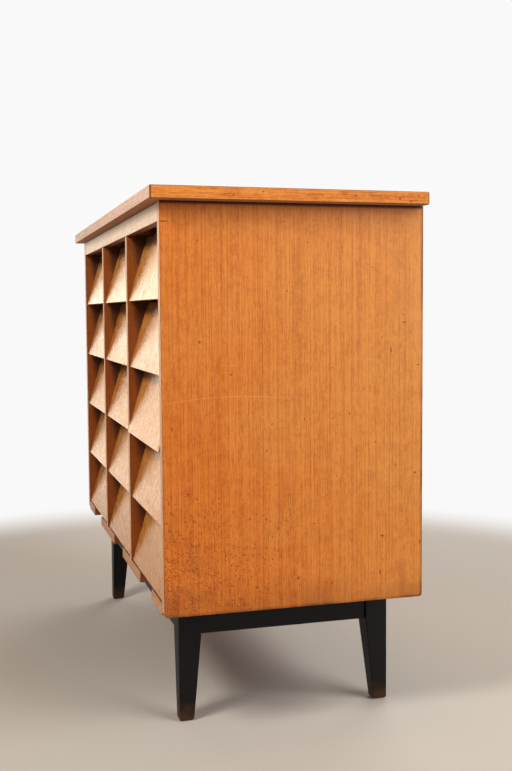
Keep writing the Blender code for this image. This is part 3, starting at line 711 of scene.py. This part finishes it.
def dirt_and_painted_shade(tree, place, colour):
    """Painted shade under the top board, and dirt along the rear and lower edges."""
    parts = node(tree, "ShaderNodeSeparateXYZ", {0: place})
    rearward = parts.outputs["Y"]
    up = parts.outputs["Z"]
    # Painted shade and painted shadow below the top board.
    for reach, fall, share, tone in JOINT_SHADE:
        under = node(tree, "ShaderNodeMapRange", {"Value": up, "From Min": carcass_top - reach * MM,
                                                  "From Max": carcass_top - JOINT_FULL * MM})
        under = node(tree, "ShaderNodeMath", {0: under, 1: fall}, operation="POWER")
        under = node(tree, "ShaderNodeMath", {0: under, 1: share}, operation="MULTIPLY")
        colour = node(tree, "ShaderNodeMix", {0: under, 6: colour, 7: tone}, data_type="RGBA")
    clouds = node(tree, "ShaderNodeTexNoise",
                  {"Vector": place, "Scale": 1 / (BORDER_CLOUD * MM), "Detail": 3.0})
    least, most = BORDER_CLOUD_LEVELS
    clouds = node(tree, "ShaderNodeMapRange",
                  {"Value": clouds, "From Min": least, "From Max": most, "To Min": BORDER_LEAST})
    swept = node(tree, "ShaderNodeMapRange", {"Value": up, "From Min": carcass_low + SWEPT_BAND * MM,
                                              "From Max": carcass_low, "To Max": SWEPT_SHARE})
    swept = node(tree, "ShaderNodeMath", {0: swept, 1: clouds}, operation="MULTIPLY")
    colour = node(tree, "ShaderNodeMix", {0: swept, 6: colour, 7: DIRT_AND_SHADE_TONE}, data_type="RGBA")
    rear = node(tree, "ShaderNodeMapRange", {"Value": rearward, "From Min": rear_y - BORDER_DIRT * MM,
                                             "From Max": rear_y - BORDER_FULL * MM})
    lower = node(tree, "ShaderNodeMapRange", {"Value": up, "From Min": carcass_low + BORDER_DIRT * MM,
                                              "From Max": carcass_low + BORDER_FULL * MM})
    border = node(tree, "ShaderNodeMath", {0: rear, 1: lower}, operation="ADD")
    border = node(tree, "ShaderNodeMath", {0: border, 1: clouds}, operation="MULTIPLY", use_clamp=True)
    border = node(tree, "ShaderNodeMath", {0: border, 1: BORDER_SHARE}, operation="MULTIPLY")
    return node(tree, "ShaderNodeMix", {0: border, 6: colour, 7: EDGE_LINE}, data_type="RGBA")


print("dirt reaches", BORDER_DIRT, "mm in from the edges")

# %% [markdown]
# Inside the cells the teak carries painted shade. The faces that look into a cell are mixed towards a brown,
# as they look in the shade between the fronts, and the deep upper corner of each cell is painted near black,
# as a painted shadow of the front above that deepens the lamp's own shadow there. The cells repeat with the
# rows, so the height is counted in rows, and its fraction says how far up in its own cell a place lies.

# %% Painted shade inside the cells
# Painted shade: the brown that faces inside a cell are mixed towards, and the near black of the painted
# shadow in their deep upper corners.
SHADE_BROWN = linear("#4A1E12")
SHADE_SHARE = 0.6
SHADOW_BLACK = linear("#160B07")
CORNER_SHADOW_SHARE = 0.8
CELL_DEPTH = 38.0
CORNER_STARTS = 0.12
CORNER_ENDS = 0.5


def up_in_row(tree, place):
    """How far up in its row a place lies: 0 at the lower edge of a drawer front, nearly 1 below the next."""
    up = node(tree, "ShaderNodeSeparateXYZ", {0: place}).outputs["Z"]
    rows = node(tree, "ShaderNodeMath", {0: up, 1: 1 / row_pitch, 2: -lowest_front.z / row_pitch},
                operation="MULTIPLY_ADD")
    return node(tree, "ShaderNodeMath", {0: rows}, operation="FRACT")


def painted_cell_shade(tree, place, colour):
    """The same wood in painted shade, as it looks inside a cell, with a painted shadow in the deep upper
    corner.
    """
    brown = node(tree, "ShaderNodeMix", {0: SHADE_SHARE, 6: colour, 7: SHADE_BROWN}, data_type="RGBA")
    rearward = node(tree, "ShaderNodeSeparateXYZ", {0: place}).outputs["Y"]
    deep = node(tree, "ShaderNodeMapRange",
                {"Value": rearward, "From Min": front_y, "From Max": front_y + CELL_DEPTH * MM})
    corner = node(tree, "ShaderNodeMath", {0: up_in_row(tree, place), 1: deep}, operation="MULTIPLY")
    corner = node(tree, "ShaderNodeMapRange",
                  {"Value": corner, "From Min": CORNER_STARTS, "From Max": CORNER_ENDS,
                   "To Max": CORNER_SHADOW_SHARE}, interpolation_type="SMOOTHSTEP")
    return node(tree, "ShaderNodeMix", {0: corner, 6: brown, 7: SHADOW_BLACK}, data_type="RGBA")


print("the cells are dark from", CELL_DEPTH, "mm in")

# %% [markdown]
# Each side panel and divider has teak veneer on its faces and a strip of solid beech, planed and lacquered,
# glued along its front edge. The eye reads the strip as a pale pink line with hardly any figure, and a dark
# line beside it where the edge was rounded. One function makes all three finishes. It takes the faces that
# look into cells, which get the painted shade: one on a side panel, both on a divider.

# %% Side panels and dividers
TEAK_SPACING = (3.2, 3.2, 620.0)
EDGE_SPACING = (2.0, 200.0, 160.0)
EDGE_BEECH = ["#C8926C", "#D49F78", "#DEAC86", "#E6B893"]
EDGE_PORES = 0.3
EDGE_ROUGHNESS = 0.55
EDGE_LINE_SHARE = 0.75
SIDE_GLOSS = 0.3
TEAK_RELIEF = 0.04


def side_finish(name, seed, cell_faces, marked=False):
    """Teak with a beech front edge. cell_faces says which faces look into cells: -1 left, 1 right."""
    finish, tree, place, normal = begin(name)
    colour, height = aged_teak(tree, place, TEAK_SPACING, seed)
    if marked:
        colour = marked_side(tree, place, colour)
    colour = dirt_and_painted_shade(tree, place, colour)
    # Painted shade and painted shadow for the faces that look into cells.
    dark = painted_cell_shade(tree, place, colour)
    edge, _ = wood_figure(tree, place, EDGE_SPACING, EDGE_BEECH, EDGE_PORES, seed + 1)
    front = facing(tree, normal, (0, -1, 0))
    layers = [(facing(tree, normal, (way, 0, 0)), dark) for way in cell_faces]
    layers += [(front, edge), (rounded_edges(tree, normal, EDGE_LINE_SHARE), EDGE_LINE)]
    for mask, tone in layers:
        colour = node(tree, "ShaderNodeMix", {0: mask, 6: colour, 7: tone}, data_type="RGBA")
    roughness = node(tree, "ShaderNodeMath", {0: front, 1: EDGE_ROUGHNESS - SATIN, 2: SATIN},
                     operation="MULTIPLY_ADD")
    finish_wood(tree, colour, height, roughness, SIDE_GLOSS, TEAK_RELIEF)
    return finish


right_side = side_finish("teak_veneer_right_side", seed=0.0, cell_faces=[-1], marked=True)
left_side = side_finish("teak_veneer_left_side", seed=20.0, cell_faces=[1])
dividers = side_finish("teak_veneer_dividers", seed=40.0, cell_faces=[-1, 1])
print("made", right_side.name, left_side.name, dividers.name)

# %% [markdown]
# The top board is the same teak, but its grain runs along the chest. Its edges are solid teak, planed and
# lacquered, and they have aged in their own ways: the ends have knocks of their own, and the front edge has
# bleached to a dull pink. Each edge could be a board of its own. A mask by the facing is enough, because
# the figure is the same size on all of them. A top is wiped often, which leaves its lacquer more matt than
# that of the sides.

# %% Teak top board
TOP_SPACING = (260.0, 3.0, 3.0)
TOP_END_SPACING = (3.0, 260.0, 3.0)
TOP_END = ["#BE6823", "#D1782C", "#DC8534", "#E79341"]
TOP_FRONT = ["#C4947C", "#D1A288", "#DCAF96", "#E4BAA3"]
TOP_PORES = 0.4
TOP_KNOCKS = [(120, 8, 2.2, 1.8), (171, 15, 1.8, 1.6), (262, 6, 2.4, 1.4), (335, 12, 2.4, 2.0),
              (416, 9, 2.2, 2.4), (437, 4, 2.8, 1.8), (452, 14, 2.0, 2.2)]
TOP_UNDERSIDE = linear("#B0724A")
TOP_EDGE_LINE_SHARE = 0.8
TOP_ROUGHNESS = 0.64
TOP_GLOSS = 0.25


def top_finish():
    finish, tree, place, normal = begin("teak_top")
    colour, height = aged_teak(tree, place, TOP_SPACING, seed=60.0)
    end, _ = wood_figure(tree, place, TOP_END_SPACING, TOP_END, TOP_PORES, seed=63.0)
    front, _ = wood_figure(tree, place, TOP_SPACING, TOP_FRONT, TOP_PORES, seed=66.0)
    parts = node(tree, "ShaderNodeSeparateXYZ", {0: place})
    flat = node(tree, "ShaderNodeCombineXYZ", {0: parts.outputs["Y"], 1: parts.outputs["Z"]})
    knocked = nearest_knock(tree, flat, TOP_KNOCKS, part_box("top_board")[0].z, 1.0)
    end = node(tree, "ShaderNodeMix", {0: knocked, 6: end, 7: KNOCK_TONE}, data_type="RGBA")
    either_way = node(tree, "ShaderNodeVectorMath", {0: normal}, operation="ABSOLUTE")
    forward = facing(tree, normal, (0, -1, 0))
    layers = [(facing(tree, either_way, (1, 0, 0)), end),
              (forward, front),
              (facing(tree, normal, (0, 0, -1)), TOP_UNDERSIDE),
              (rounded_edges(tree, normal, TOP_EDGE_LINE_SHARE), EDGE_LINE)]
    for mask, tone in layers:
        colour = node(tree, "ShaderNodeMix", {0: mask, 6: colour, 7: tone}, data_type="RGBA")
    roughness = node(tree, "ShaderNodeMath",
                     {0: forward, 1: EDGE_ROUGHNESS - TOP_ROUGHNESS, 2: TOP_ROUGHNESS},
                     operation="MULTIPLY_ADD")
    finish_wood(tree, colour, height, roughness, TOP_GLOSS, TEAK_RELIEF)
    return finish


top = top_finish()
print("made", top.name)

# %% [markdown]
# The leaning fronts are veneered with teak too, and sanded and lacquered like the sides. To the eye they
# are far paler, because their satin lacquer mirrors the low window. That could be painted on as a pale
# colour, but it would stay pale in every other light. So their wood is only a little yellower than the
# sides, and the gloss does the rest.
#
# Each front was cut from its own leaf of veneer. So the pattern jumps from cell to cell: the column and the
# row are counted, and their number shifts the place and picks a tone. The grain runs up the slope, so the
# pattern ignores the depth, which changes with the slope.

# %% Leaves of veneer on the fronts
FRONT_TEAK = ["#B6732F", "#C6823A", "#D29045", "#DE9E51"]
FRONT_SPACING = (3.6, 9000.0, 240.0)
FRONT_PORES = 0.5
COLUMN_STEP = 7.0
LEAF_SHIFT = (0.37, 0.0, 0.61)
LEAF_TINT = linear("#F3E2D0")


def leaf_number(tree, place):
    """A whole number that differs from cell to cell."""
    parts = node(tree, "ShaderNodeSeparateXYZ", {0: place})
    counts = []
    for along, first, pitch in [(parts.outputs["X"], lowest_front.x, column_pitch),
                                (parts.outputs["Z"], lowest_front.z, row_pitch)]:
        count = node(tree, "ShaderNodeMath", {0: along, 1: 1 / pitch, 2: -first / pitch},
                     operation="MULTIPLY_ADD")
        counts.append(node(tree, "ShaderNodeMath", {0: count}, operation="FLOOR"))
    return node(tree, "ShaderNodeMath", {0: counts[0], 1: COLUMN_STEP, 2: counts[1]},
                operation="MULTIPLY_ADD")


def front_veneer(tree, place):
    """The colour and the height of the fronts' teak, from a different leaf in each cell."""
    leaf = leaf_number(tree, place)
    shift = node(tree, "ShaderNodeVectorMath", {0: leaf, 1: LEAF_SHIFT}, operation="MULTIPLY")
    moved = node(tree, "ShaderNodeVectorMath", {0: place, 1: shift}, operation="ADD")
    colour, height = wood_figure(tree, moved, FRONT_SPACING, FRONT_TEAK, FRONT_PORES, seed=80.0)
    tinted = node(tree, "ShaderNodeMix", {0: 1.0, 6: colour, 7: LEAF_TINT},
                  data_type="RGBA", blend_type="MULTIPLY")
    tone = node(tree, "ShaderNodeTexWhiteNoise", {"W": leaf}, noise_dimensions="1D")
    return node(tree, "ShaderNodeMix", {0: tone, 6: colour, 7: tinted}, data_type="RGBA"), height


print("the leaves are", round(column_pitch / MM), "mm wide")

# %% [markdown]
# Hands pull the fronts by their lower edges, so the lacquer is chipped there and dark wood shows. At the
# upper edge, deep under the next front, a painted shadow darkens the front's face. Both lie at a level in the
# row, so the height within the row is their mask, and a noise breaks the chips up. Where the figure is high
# the lacquer is thin and a little rougher, so the height also drives the roughness.

# %% Satin teak fronts
CHIPS_END = 0.026
CHIPS_FULL = 0.012
CHIP_SIZE = 8.0
CHIP_TONE = linear("#3E2010")
# Painted shadow along the upper edge of each front, under the next front.
TOP_SHADOW_STARTS = 0.78
TOP_SHADOW_FULL = 0.95
TOP_SHADOW_SHARE = 0.6
CHIP_LEVELS = (0.57, 0.7)
ROUGHER_WHERE_HIGH = 0.45
ROUGHNESS_START = -0.12
FRONT_GLOSS = 0.5
FRONT_RELIEF = 0.05


def front_finish():
    finish, tree, place, normal = begin("satin_teak_fronts")
    colour, height = front_veneer(tree, place)
    up = up_in_row(tree, place)
    worn = node(tree, "ShaderNodeMapRange", {"Value": up, "From Min": CHIPS_END, "From Max": CHIPS_FULL})
    patches = node(tree, "ShaderNodeTexNoise",
                   {"Vector": place, "Scale": 1 / (CHIP_SIZE * MM), "Detail": 3.0})
    least, most = CHIP_LEVELS
    patches = node(tree, "ShaderNodeMapRange", {"Value": patches, "From Min": least, "From Max": most})
    chips = node(tree, "ShaderNodeMath", {0: worn, 1: patches}, operation="MULTIPLY")
    colour = node(tree, "ShaderNodeMix", {0: chips, 6: colour, 7: CHIP_TONE}, data_type="RGBA")
    # Painted shadow: the upper edge of each front's face is darkened towards near black.
    top_shadow = node(tree, "ShaderNodeMapRange",
                 {"Value": up, "From Min": TOP_SHADOW_STARTS, "From Max": TOP_SHADOW_FULL, "To Max": TOP_SHADOW_SHARE})
    forward = facing(tree, normal, (0, -1, 0))
    top_shadow = node(tree, "ShaderNodeMath", {0: top_shadow, 1: forward}, operation="MULTIPLY")
    colour = node(tree, "ShaderNodeMix", {0: top_shadow, 6: colour, 7: SHADOW_BLACK}, data_type="RGBA")
    roughness = node(tree, "ShaderNodeMath", {0: height, 1: ROUGHER_WHERE_HIGH, 2: ROUGHNESS_START},
                     operation="MULTIPLY_ADD")
    finish_wood(tree, colour, height, roughness, FRONT_GLOSS, FRONT_RELIEF)
    return finish


fronts = front_finish()
print("made", fronts.name)

# %% [markdown]
# The rail under the top and the bottom board are solid beech, planed and lacquered. To the eye beech is plain
# and a little pink, with fine flecks instead of lines. The same wood figure serves, with close tones and its
# grain along the chest. All faces but the front ones are multiplied by a brown, which is painted shade: those
# faces look into the cells or down, away from the light. The joints round the rail are dark, partly as
# painted shadow in the gaps, and cloths have darkened the rounded edges.

# %% Beech rail and bottom board
RAIL_SPACING = (200.0, 3.0, 3.0)
BEECH_PORES = 0.35
RAIL_BEECH = ["#C79D7E", "#D1A98A", "#D9B496", "#E1BFA2"]
BOTTOM_BEECH = ["#AE703F", "#C1804B", "#D19059", "#E0A169"]
BEECH_EDGE_TONE = linear("#7A4A30")
BEECH_RUBBED = 0.35
BEECH_GLOSS = 0.5
BEECH_RELIEF = 0.04
rail_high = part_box("front_top_rail")[1]
# Dark joints round the rail, partly painted shadow in the gaps.
RAIL_JOINTS = [("Z", carcass_top - 3.5 * MM, carcass_top - 1.5 * MM, 0.9),
               ("X", rail_high.x - 4.0 * MM, rail_high.x - 1.5 * MM, 0.7)]


def beech_finish(name, tones, seed, shade_tone):
    finish, tree, place, normal = begin(name)
    colour, height = wood_figure(tree, place, RAIL_SPACING, tones, BEECH_PORES, seed)
    # Painted shade: every face but the front ones is multiplied by this brown.
    shaded_faces = node(tree, "ShaderNodeMix", {0: 1.0, 6: colour, 7: linear(shade_tone)}, data_type="RGBA",
                   blend_type="MULTIPLY")
    forward = facing(tree, normal, (0, -1, 0))
    colour = node(tree, "ShaderNodeMix", {0: forward, 6: shaded_faces, 7: colour}, data_type="RGBA")
    either_side = node(tree, "ShaderNodeVectorMath", {0: place}, operation="ABSOLUTE")
    parts = node(tree, "ShaderNodeSeparateXYZ", {0: either_side})
    dirt = 0.0
    for way, start, full, share in RAIL_JOINTS:
        joint = node(tree, "ShaderNodeMapRange",
                     {"Value": parts.outputs[way], "From Min": start, "From Max": full, "To Max": share})
        dirt = node(tree, "ShaderNodeMath", {0: dirt, 1: joint}, operation="MAXIMUM")
    for mask, tone in [(dirt, JOINT_BLACK), (rounded_edges(tree, normal, BEECH_RUBBED), BEECH_EDGE_TONE)]:
        colour = node(tree, "ShaderNodeMix", {0: mask, 6: colour, 7: tone}, data_type="RGBA")
    finish_wood(tree, colour, height, SATIN, BEECH_GLOSS, BEECH_RELIEF)
    return finish


rail = beech_finish("beech_rail", RAIL_BEECH, seed=100.0, shade_tone="#7E573C")
bottom = beech_finish("beech_bottom_board", BOTTOM_BEECH, seed=110.0, shade_tone="#B08468")
print("made", rail.name, "and", bottom.name)

# %% [markdown]
# Inside, nobody lacquered much. The drawer sides and backs are plain beech, sanded, with the grain along
# each board. The drawer bottoms and the back panel are plywood, whose face is peeled off the turning log,
# so its figure is wide and soft. Bare wood looks matt and a little grimy. One function makes all three,
# with the spacing and the tones of each, and a slow noise lays brown grime over them.

# %% Drawer wood and plywood
DRAWER_BEECH = ["#B98F61", "#C9A075", "#D4AD83", "#DFBC95"]
PLYWOOD = ["#A87B4C", "#B88A5A", "#C39766", "#CFA676"]
GRIME_SIZE = 110.0
GRIME_LEVELS = (0.5, 0.8)
GRIME_SHARE = 0.35
GRIME_BROWN = linear("#8A6238")
BARE_GLOSS = 0.2
BARE_RELIEF = 0.06


def bare_wood_finish(name, spacing, tones, seed, roughness):
    finish, tree, place, _ = begin(name)
    colour, height = wood_figure(tree, place, spacing, tones, BEECH_PORES, seed)
    grime = node(tree, "ShaderNodeTexNoise", {"Vector": place, "Scale": 1 / (GRIME_SIZE * MM), "Detail": 3.0})
    least, most = GRIME_LEVELS
    grime = node(tree, "ShaderNodeMapRange",
                 {"Value": grime, "From Min": least, "From Max": most, "To Max": GRIME_SHARE})
    colour = node(tree, "ShaderNodeMix", {0: grime, 6: colour, 7: GRIME_BROWN}, data_type="RGBA")
    finish_wood(tree, colour, height, roughness, BARE_GLOSS, BARE_RELIEF)
    return finish


drawer_wood = bare_wood_finish("beech_drawer_box", spacing=(3.0, 240.0, 3.0), tones=DRAWER_BEECH,
                               seed=120.0, roughness=0.55)
drawer_bottom = bare_wood_finish("plywood_drawer_bottom", spacing=(14.0, 420.0, 14.0), tones=PLYWOOD,
                                 seed=130.0, roughness=0.6)
back = bare_wood_finish("plywood_back", spacing=(16.0, 16.0, 480.0), tones=PLYWOOD,
                        seed=140.0, roughness=0.65)
print("made", drawer_wood.name, drawer_bottom.name, back.name)

# %% [markdown]
# The legs and the rails between them are wood under black lacquer, brushed on and left satin. To the eye
# that is a soft black with blurred highlights. Where the chest was pushed about, the lacquer has worn off
# the edges and the feet, and brown wood shows. Wear could be painted by hand. Here the mask of rounded
# edges and the height above the floor are added up, and a noise is added before the threshold, so that the
# worn places end in ragged patches.

# %% Worn black lacquer
BLACK = linear("#0D0B0C")
BARE_BROWN = linear("#5C3D22")
BRUSH_SIZE = 4.0
PATCH_SIZE = 18.0
FOOT_WEAR = 75.0
FOOT_FALL = 2.4
EDGE_WEAR = 0.16
FOOT_EDGE_WEAR = 0.8
WORN_LEVELS = (0.72, 1.7)
WEAR_SHARE = 0.8
BLACK_ROUGHNESS = 0.46
BLACK_GLOSS = 0.2
BLACK_RELIEF = 0.02


def black_finish():
    finish, tree, place, normal = begin("worn_black_lacquer")
    height = node(tree, "ShaderNodeTexNoise",
                  {"Vector": place, "Scale": 1 / (BRUSH_SIZE * MM), "Detail": 3.0})
    patches = node(tree, "ShaderNodeTexNoise",
                   {"Vector": place, "Scale": 1 / (PATCH_SIZE * MM), "Detail": 4.0})
    up = node(tree, "ShaderNodeSeparateXYZ", {0: place}).outputs["Z"]
    low = node(tree, "ShaderNodeMapRange", {"Value": up, "From Min": FOOT_WEAR * MM, "From Max": 0.0})
    low = node(tree, "ShaderNodeMath", {0: low, 1: FOOT_FALL}, operation="POWER")
    near_foot = node(tree, "ShaderNodeMath", {0: low, 1: FOOT_EDGE_WEAR, 2: EDGE_WEAR},
                     operation="MULTIPLY_ADD")
    edges = rounded_edges(tree, normal, 1.0)
    wear = node(tree, "ShaderNodeMath", {0: edges, 1: near_foot, 2: low}, operation="MULTIPLY_ADD")
    wear = node(tree, "ShaderNodeMath", {0: wear, 1: patches}, operation="ADD")
    least, most = WORN_LEVELS
    bare = node(tree, "ShaderNodeMapRange",
                {"Value": wear, "From Min": least, "From Max": most, "To Max": WEAR_SHARE})
    colour = node(tree, "ShaderNodeMix", {0: bare, 6: BLACK, 7: BARE_BROWN}, data_type="RGBA")
    finish_wood(tree, colour, height, BLACK_ROUGHNESS, BLACK_GLOSS, BLACK_RELIEF)
    return finish


black = black_finish()
print("made", black.name)

# %% [markdown]
# The solids arrive as plain triangles, each with its own corners, and their small roundings look faceted.
# Their meshes may not be edited, but modifiers leave them as they are. A small geometry node group joins
# the corners that lie in one place, shades the mesh smooth and keeps the edges sharp that turn more than 50
# degrees at once. A weighted normal modifier then lets the large flat faces rule, so that only the rounded
# edges catch the light.

# %% Smooth shading for the rounded edges
SHARP_TURN = math.radians(50)
JOIN_DISTANCE = 0.01


def edge_softener():
    group = bpy.data.node_groups.new("soft_edges", "GeometryNodeTree")
    group.interface.new_socket("Geometry", in_out="INPUT", socket_type="NodeSocketGeometry")
    group.interface.new_socket("Geometry", in_out="OUTPUT", socket_type="NodeSocketGeometry")
    start = node(group, "NodeGroupInput").outputs[0]
    whole = node(group, "GeometryNodeMergeByDistance", {"Geometry": start, "Distance": JOIN_DISTANCE * MM})
    plain = node(group, "GeometryNodeRemoveAttribute", {"Geometry": whole, "Name": "custom_normal"})
    smooth = node(group, "GeometryNodeSetShadeSmooth", {"Geometry": plain, "Shade Smooth": True})
    turn = node(group, "GeometryNodeInputMeshEdgeAngle").outputs["Unsigned Angle"]
    soft = node(group, "FunctionNodeCompare", {0: turn, 1: SHARP_TURN}, operation="LESS_THAN")
    creased = node(group, "GeometryNodeSetShadeSmooth", {"Geometry": smooth, "Shade Smooth": soft},
                   domain="EDGE")
    node(group, "NodeGroupOutput", {0: creased})
    return group


soft_edges = edge_softener()
print("edges stay sharp from", round(math.degrees(SHARP_TURN)), "degrees")

# %% [markdown]
# Each solid now gets its finish and its soft edges. A list of 58 names would do, but the names follow the
# joiner's own order. Single boards are looked up by name, and legs and drawer parts by what their names
# start or end with.

# %% Dress the solids
finishes = {"side_panel_right": right_side, "side_panel_left": left_side, "divider_left": dividers,
            "divider_right": dividers, "top_board": top, "front_top_rail": rail, "bottom_board": bottom,
            "back_panel": back, "base_apron": black}


def finish_of(name):
    """The finish of a solid by its name."""
    if name in finishes:
        return finishes[name]
    if name.startswith("leg"):
        return black
    if name.endswith("front"):
        return fronts
    return drawer_wood if name.endswith("box") else drawer_bottom


for name, piece in frame["nodes"].items():
    piece.data.materials.clear()
    piece.data.materials.append(finish_of(name))
    piece.modifiers.new("soft_edges", "NODES").node_group = soft_edges
    piece.modifiers.new("flat_faces_rule", "WEIGHTED_NORMAL").keep_sharp = True
print("dressed", len(frame["nodes"]), "pieces")

# %% [markdown]
# The back panel and the drawers are held by small pins of drawn steel, gone dull and rusty in places. To
# the eye they are dark dots with a weak glint. Steel is a metal, so it is fully metallic and keeps the
# default index of refraction. Age makes it rougher than polished steel, and a noise a millimetre wide lays
# on the rust.

# %% Dull steel
STEEL = linear("#8C867C")
STEEL_RUST = linear("#5E3C26")
STEEL_ROUGHNESS = 0.45
RUST_SIZE = 1.1
RUST_LEVELS = (0.45, 0.7)


def steel_finish():
    finish, tree, place, _ = begin("dull_steel")
    rust = node(tree, "ShaderNodeTexNoise", {"Vector": place, "Scale": 1 / (RUST_SIZE * MM), "Detail": 2.0})
    least, most = RUST_LEVELS
    rust = node(tree, "ShaderNodeMapRange", {"Value": rust, "From Min": least, "From Max": most})
    colour = node(tree, "ShaderNodeMix", {0: rust, 6: STEEL, 7: STEEL_RUST}, data_type="RGBA")
    skin = node(tree, "ShaderNodeBsdfPrincipled",
                {"Base Color": colour, "Metallic": 1.0, "Roughness": STEEL_ROUGHNESS})
    node(tree, "ShaderNodeOutputMaterial", {"Surface": skin})
    return finish


steel = steel_finish()
print("made", steel.name)

# %% [markdown]
# A pin's head is low and domed, 3 mm across, driven in until it stands a third of a millimetre proud. It
# could be a squashed ball, but a head is a turned thing. So its half profile, a few points from the axis
# outwards and down, is spun round the axis, and that one mesh is copied to every place.

# %% Turned pin head
HEAD_PROFILE = [(0.0, 0.34), (0.7, 0.30), (1.2, 0.18), (1.5, 0.0), (1.4, -0.3), (0.0, -0.3)]
HEAD_STEPS = 12


def turned_head():
    """One pin head, its axis along +Z and its collar at height 0."""
    built = bmesh.new()
    points = [built.verts.new((radius * MM, 0, height * MM)) for radius, height in HEAD_PROFILE]
    lines = [built.edges.new(pair) for pair in zip(points, points[1:])]
    bmesh.ops.spin(built, geom=points + lines, axis=(0, 0, 1), angle=math.tau, steps=HEAD_STEPS,
                   use_merge=True)
    bmesh.ops.remove_doubles(built, verts=built.verts, dist=JOIN_DISTANCE * MM)
    bmesh.ops.recalc_face_normals(built, faces=built.faces)
    shape = bpy.data.meshes.new("pin_head")
    built.to_mesh(shape)
    built.free()
    return shape


head = turned_head()
print("a head has", len(head.polygons), "faces")

# %% [markdown]
# Pins stand in rows, near each edge of a panel. The pins of the back panel form one piece, which rides with
# the carcass, and those of each drawer form one that rides with the drawer, so that none stays behind when
# it slides. Single pins would make hundreds of pieces. Instances would do too, but one joined mesh needs no
# extra objects.

# %% Rows of pins
def pins(name, body, spots):
    """A piece made of pin heads, one at each place, each facing its own way, that rides on a body."""
    built = bmesh.new()
    for place, outwards in spots:
        before = len(built.verts)
        built.from_mesh(head)
        built.verts.ensure_lookup_table()
        turn = Vector(outwards).to_track_quat("Z", "Y").to_matrix().to_4x4()
        bmesh.ops.transform(built, matrix=Matrix.Translation(place) @ turn, verts=built.verts[before:])
    shape = bpy.data.meshes.new(name)
    built.to_mesh(shape)
    built.free()
    shape.materials.append(steel)
    shape.shade_smooth()
    piece = bpy.data.objects.new(name, shape)
    bpy.context.collection.objects.link(piece)
    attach(piece, body)
    return piece


def spread(low, high, spacing):
    """Places at equal steps from low to high, near the given spacing in metres."""
    count = round((high - low) / spacing)
    return [low + (high - low) * step / count for step in range(count + 1)]


print("helpers for pins are ready")

# %% [markdown]
# The back panel is pinned all round and along both dividers, so its rows follow from its own box and from a
# divider's. The corners belong to the level rows, so the upright rows leave out their first and last place.

# %% Pins of the back panel
PIN_INSET = 9.0
PIN_SPACING = 115.0

back_low, back_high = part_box("back_panel")
divider_low, divider_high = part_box("divider_right")
divider_middle = (divider_low.x + divider_high.x) / 2
left, right = back_low.x + PIN_INSET * MM, back_high.x - PIN_INSET * MM
lower_row, upper_row = back_low.z + PIN_INSET * MM, back_high.z - PIN_INSET * MM
panel_spots = [(x, z) for x in spread(left, right, PIN_SPACING * MM) for z in (lower_row, upper_row)]
for x in (left, -divider_middle, divider_middle, right):
    panel_spots += [(x, z) for z in spread(lower_row, upper_row, PIN_SPACING * MM)[1:-1]]
pins("back_panel_pins", "carcass", [((x, back_high.y, z), (0, 1, 0)) for x, z in panel_spots])
print(len(panel_spots), "pins in the back panel")

# %% [markdown]
# A drawer's back is held by four pins through each side, and its bottom by three from below, all near the
# rear.

# %% Pins of the drawers
SIDE_PIN_SHARES = [0.12, 0.30, 0.70, 0.88]
BOTTOM_PIN_PLACES = [-115.0, 0.0, 115.0]
DRAWER_PIN_INSET = 8.0

drawers = [name for name in frame["bodies"] if name.startswith("drawer")]
for drawer in drawers:
    box_low, box_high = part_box(drawer + "_box")
    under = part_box(drawer + "_bottom")[0].z
    middle = (box_low.x + box_high.x) / 2
    y = box_high.y - DRAWER_PIN_INSET * MM
    spots = []
    for share in SIDE_PIN_SHARES:
        z = box_low.z + share * (box_high.z - box_low.z)
        spots += [((box_low.x, y, z), (-1, 0, 0)), ((box_high.x, y, z), (1, 0, 0))]
    spots += [((middle + aside * MM, y, under), (0, 0, -1)) for aside in BOTTOM_PIN_PLACES]
    pins(drawer + "_pins", drawer, spots)
print(len(spots), "pins in each of", len(drawers), "drawers")
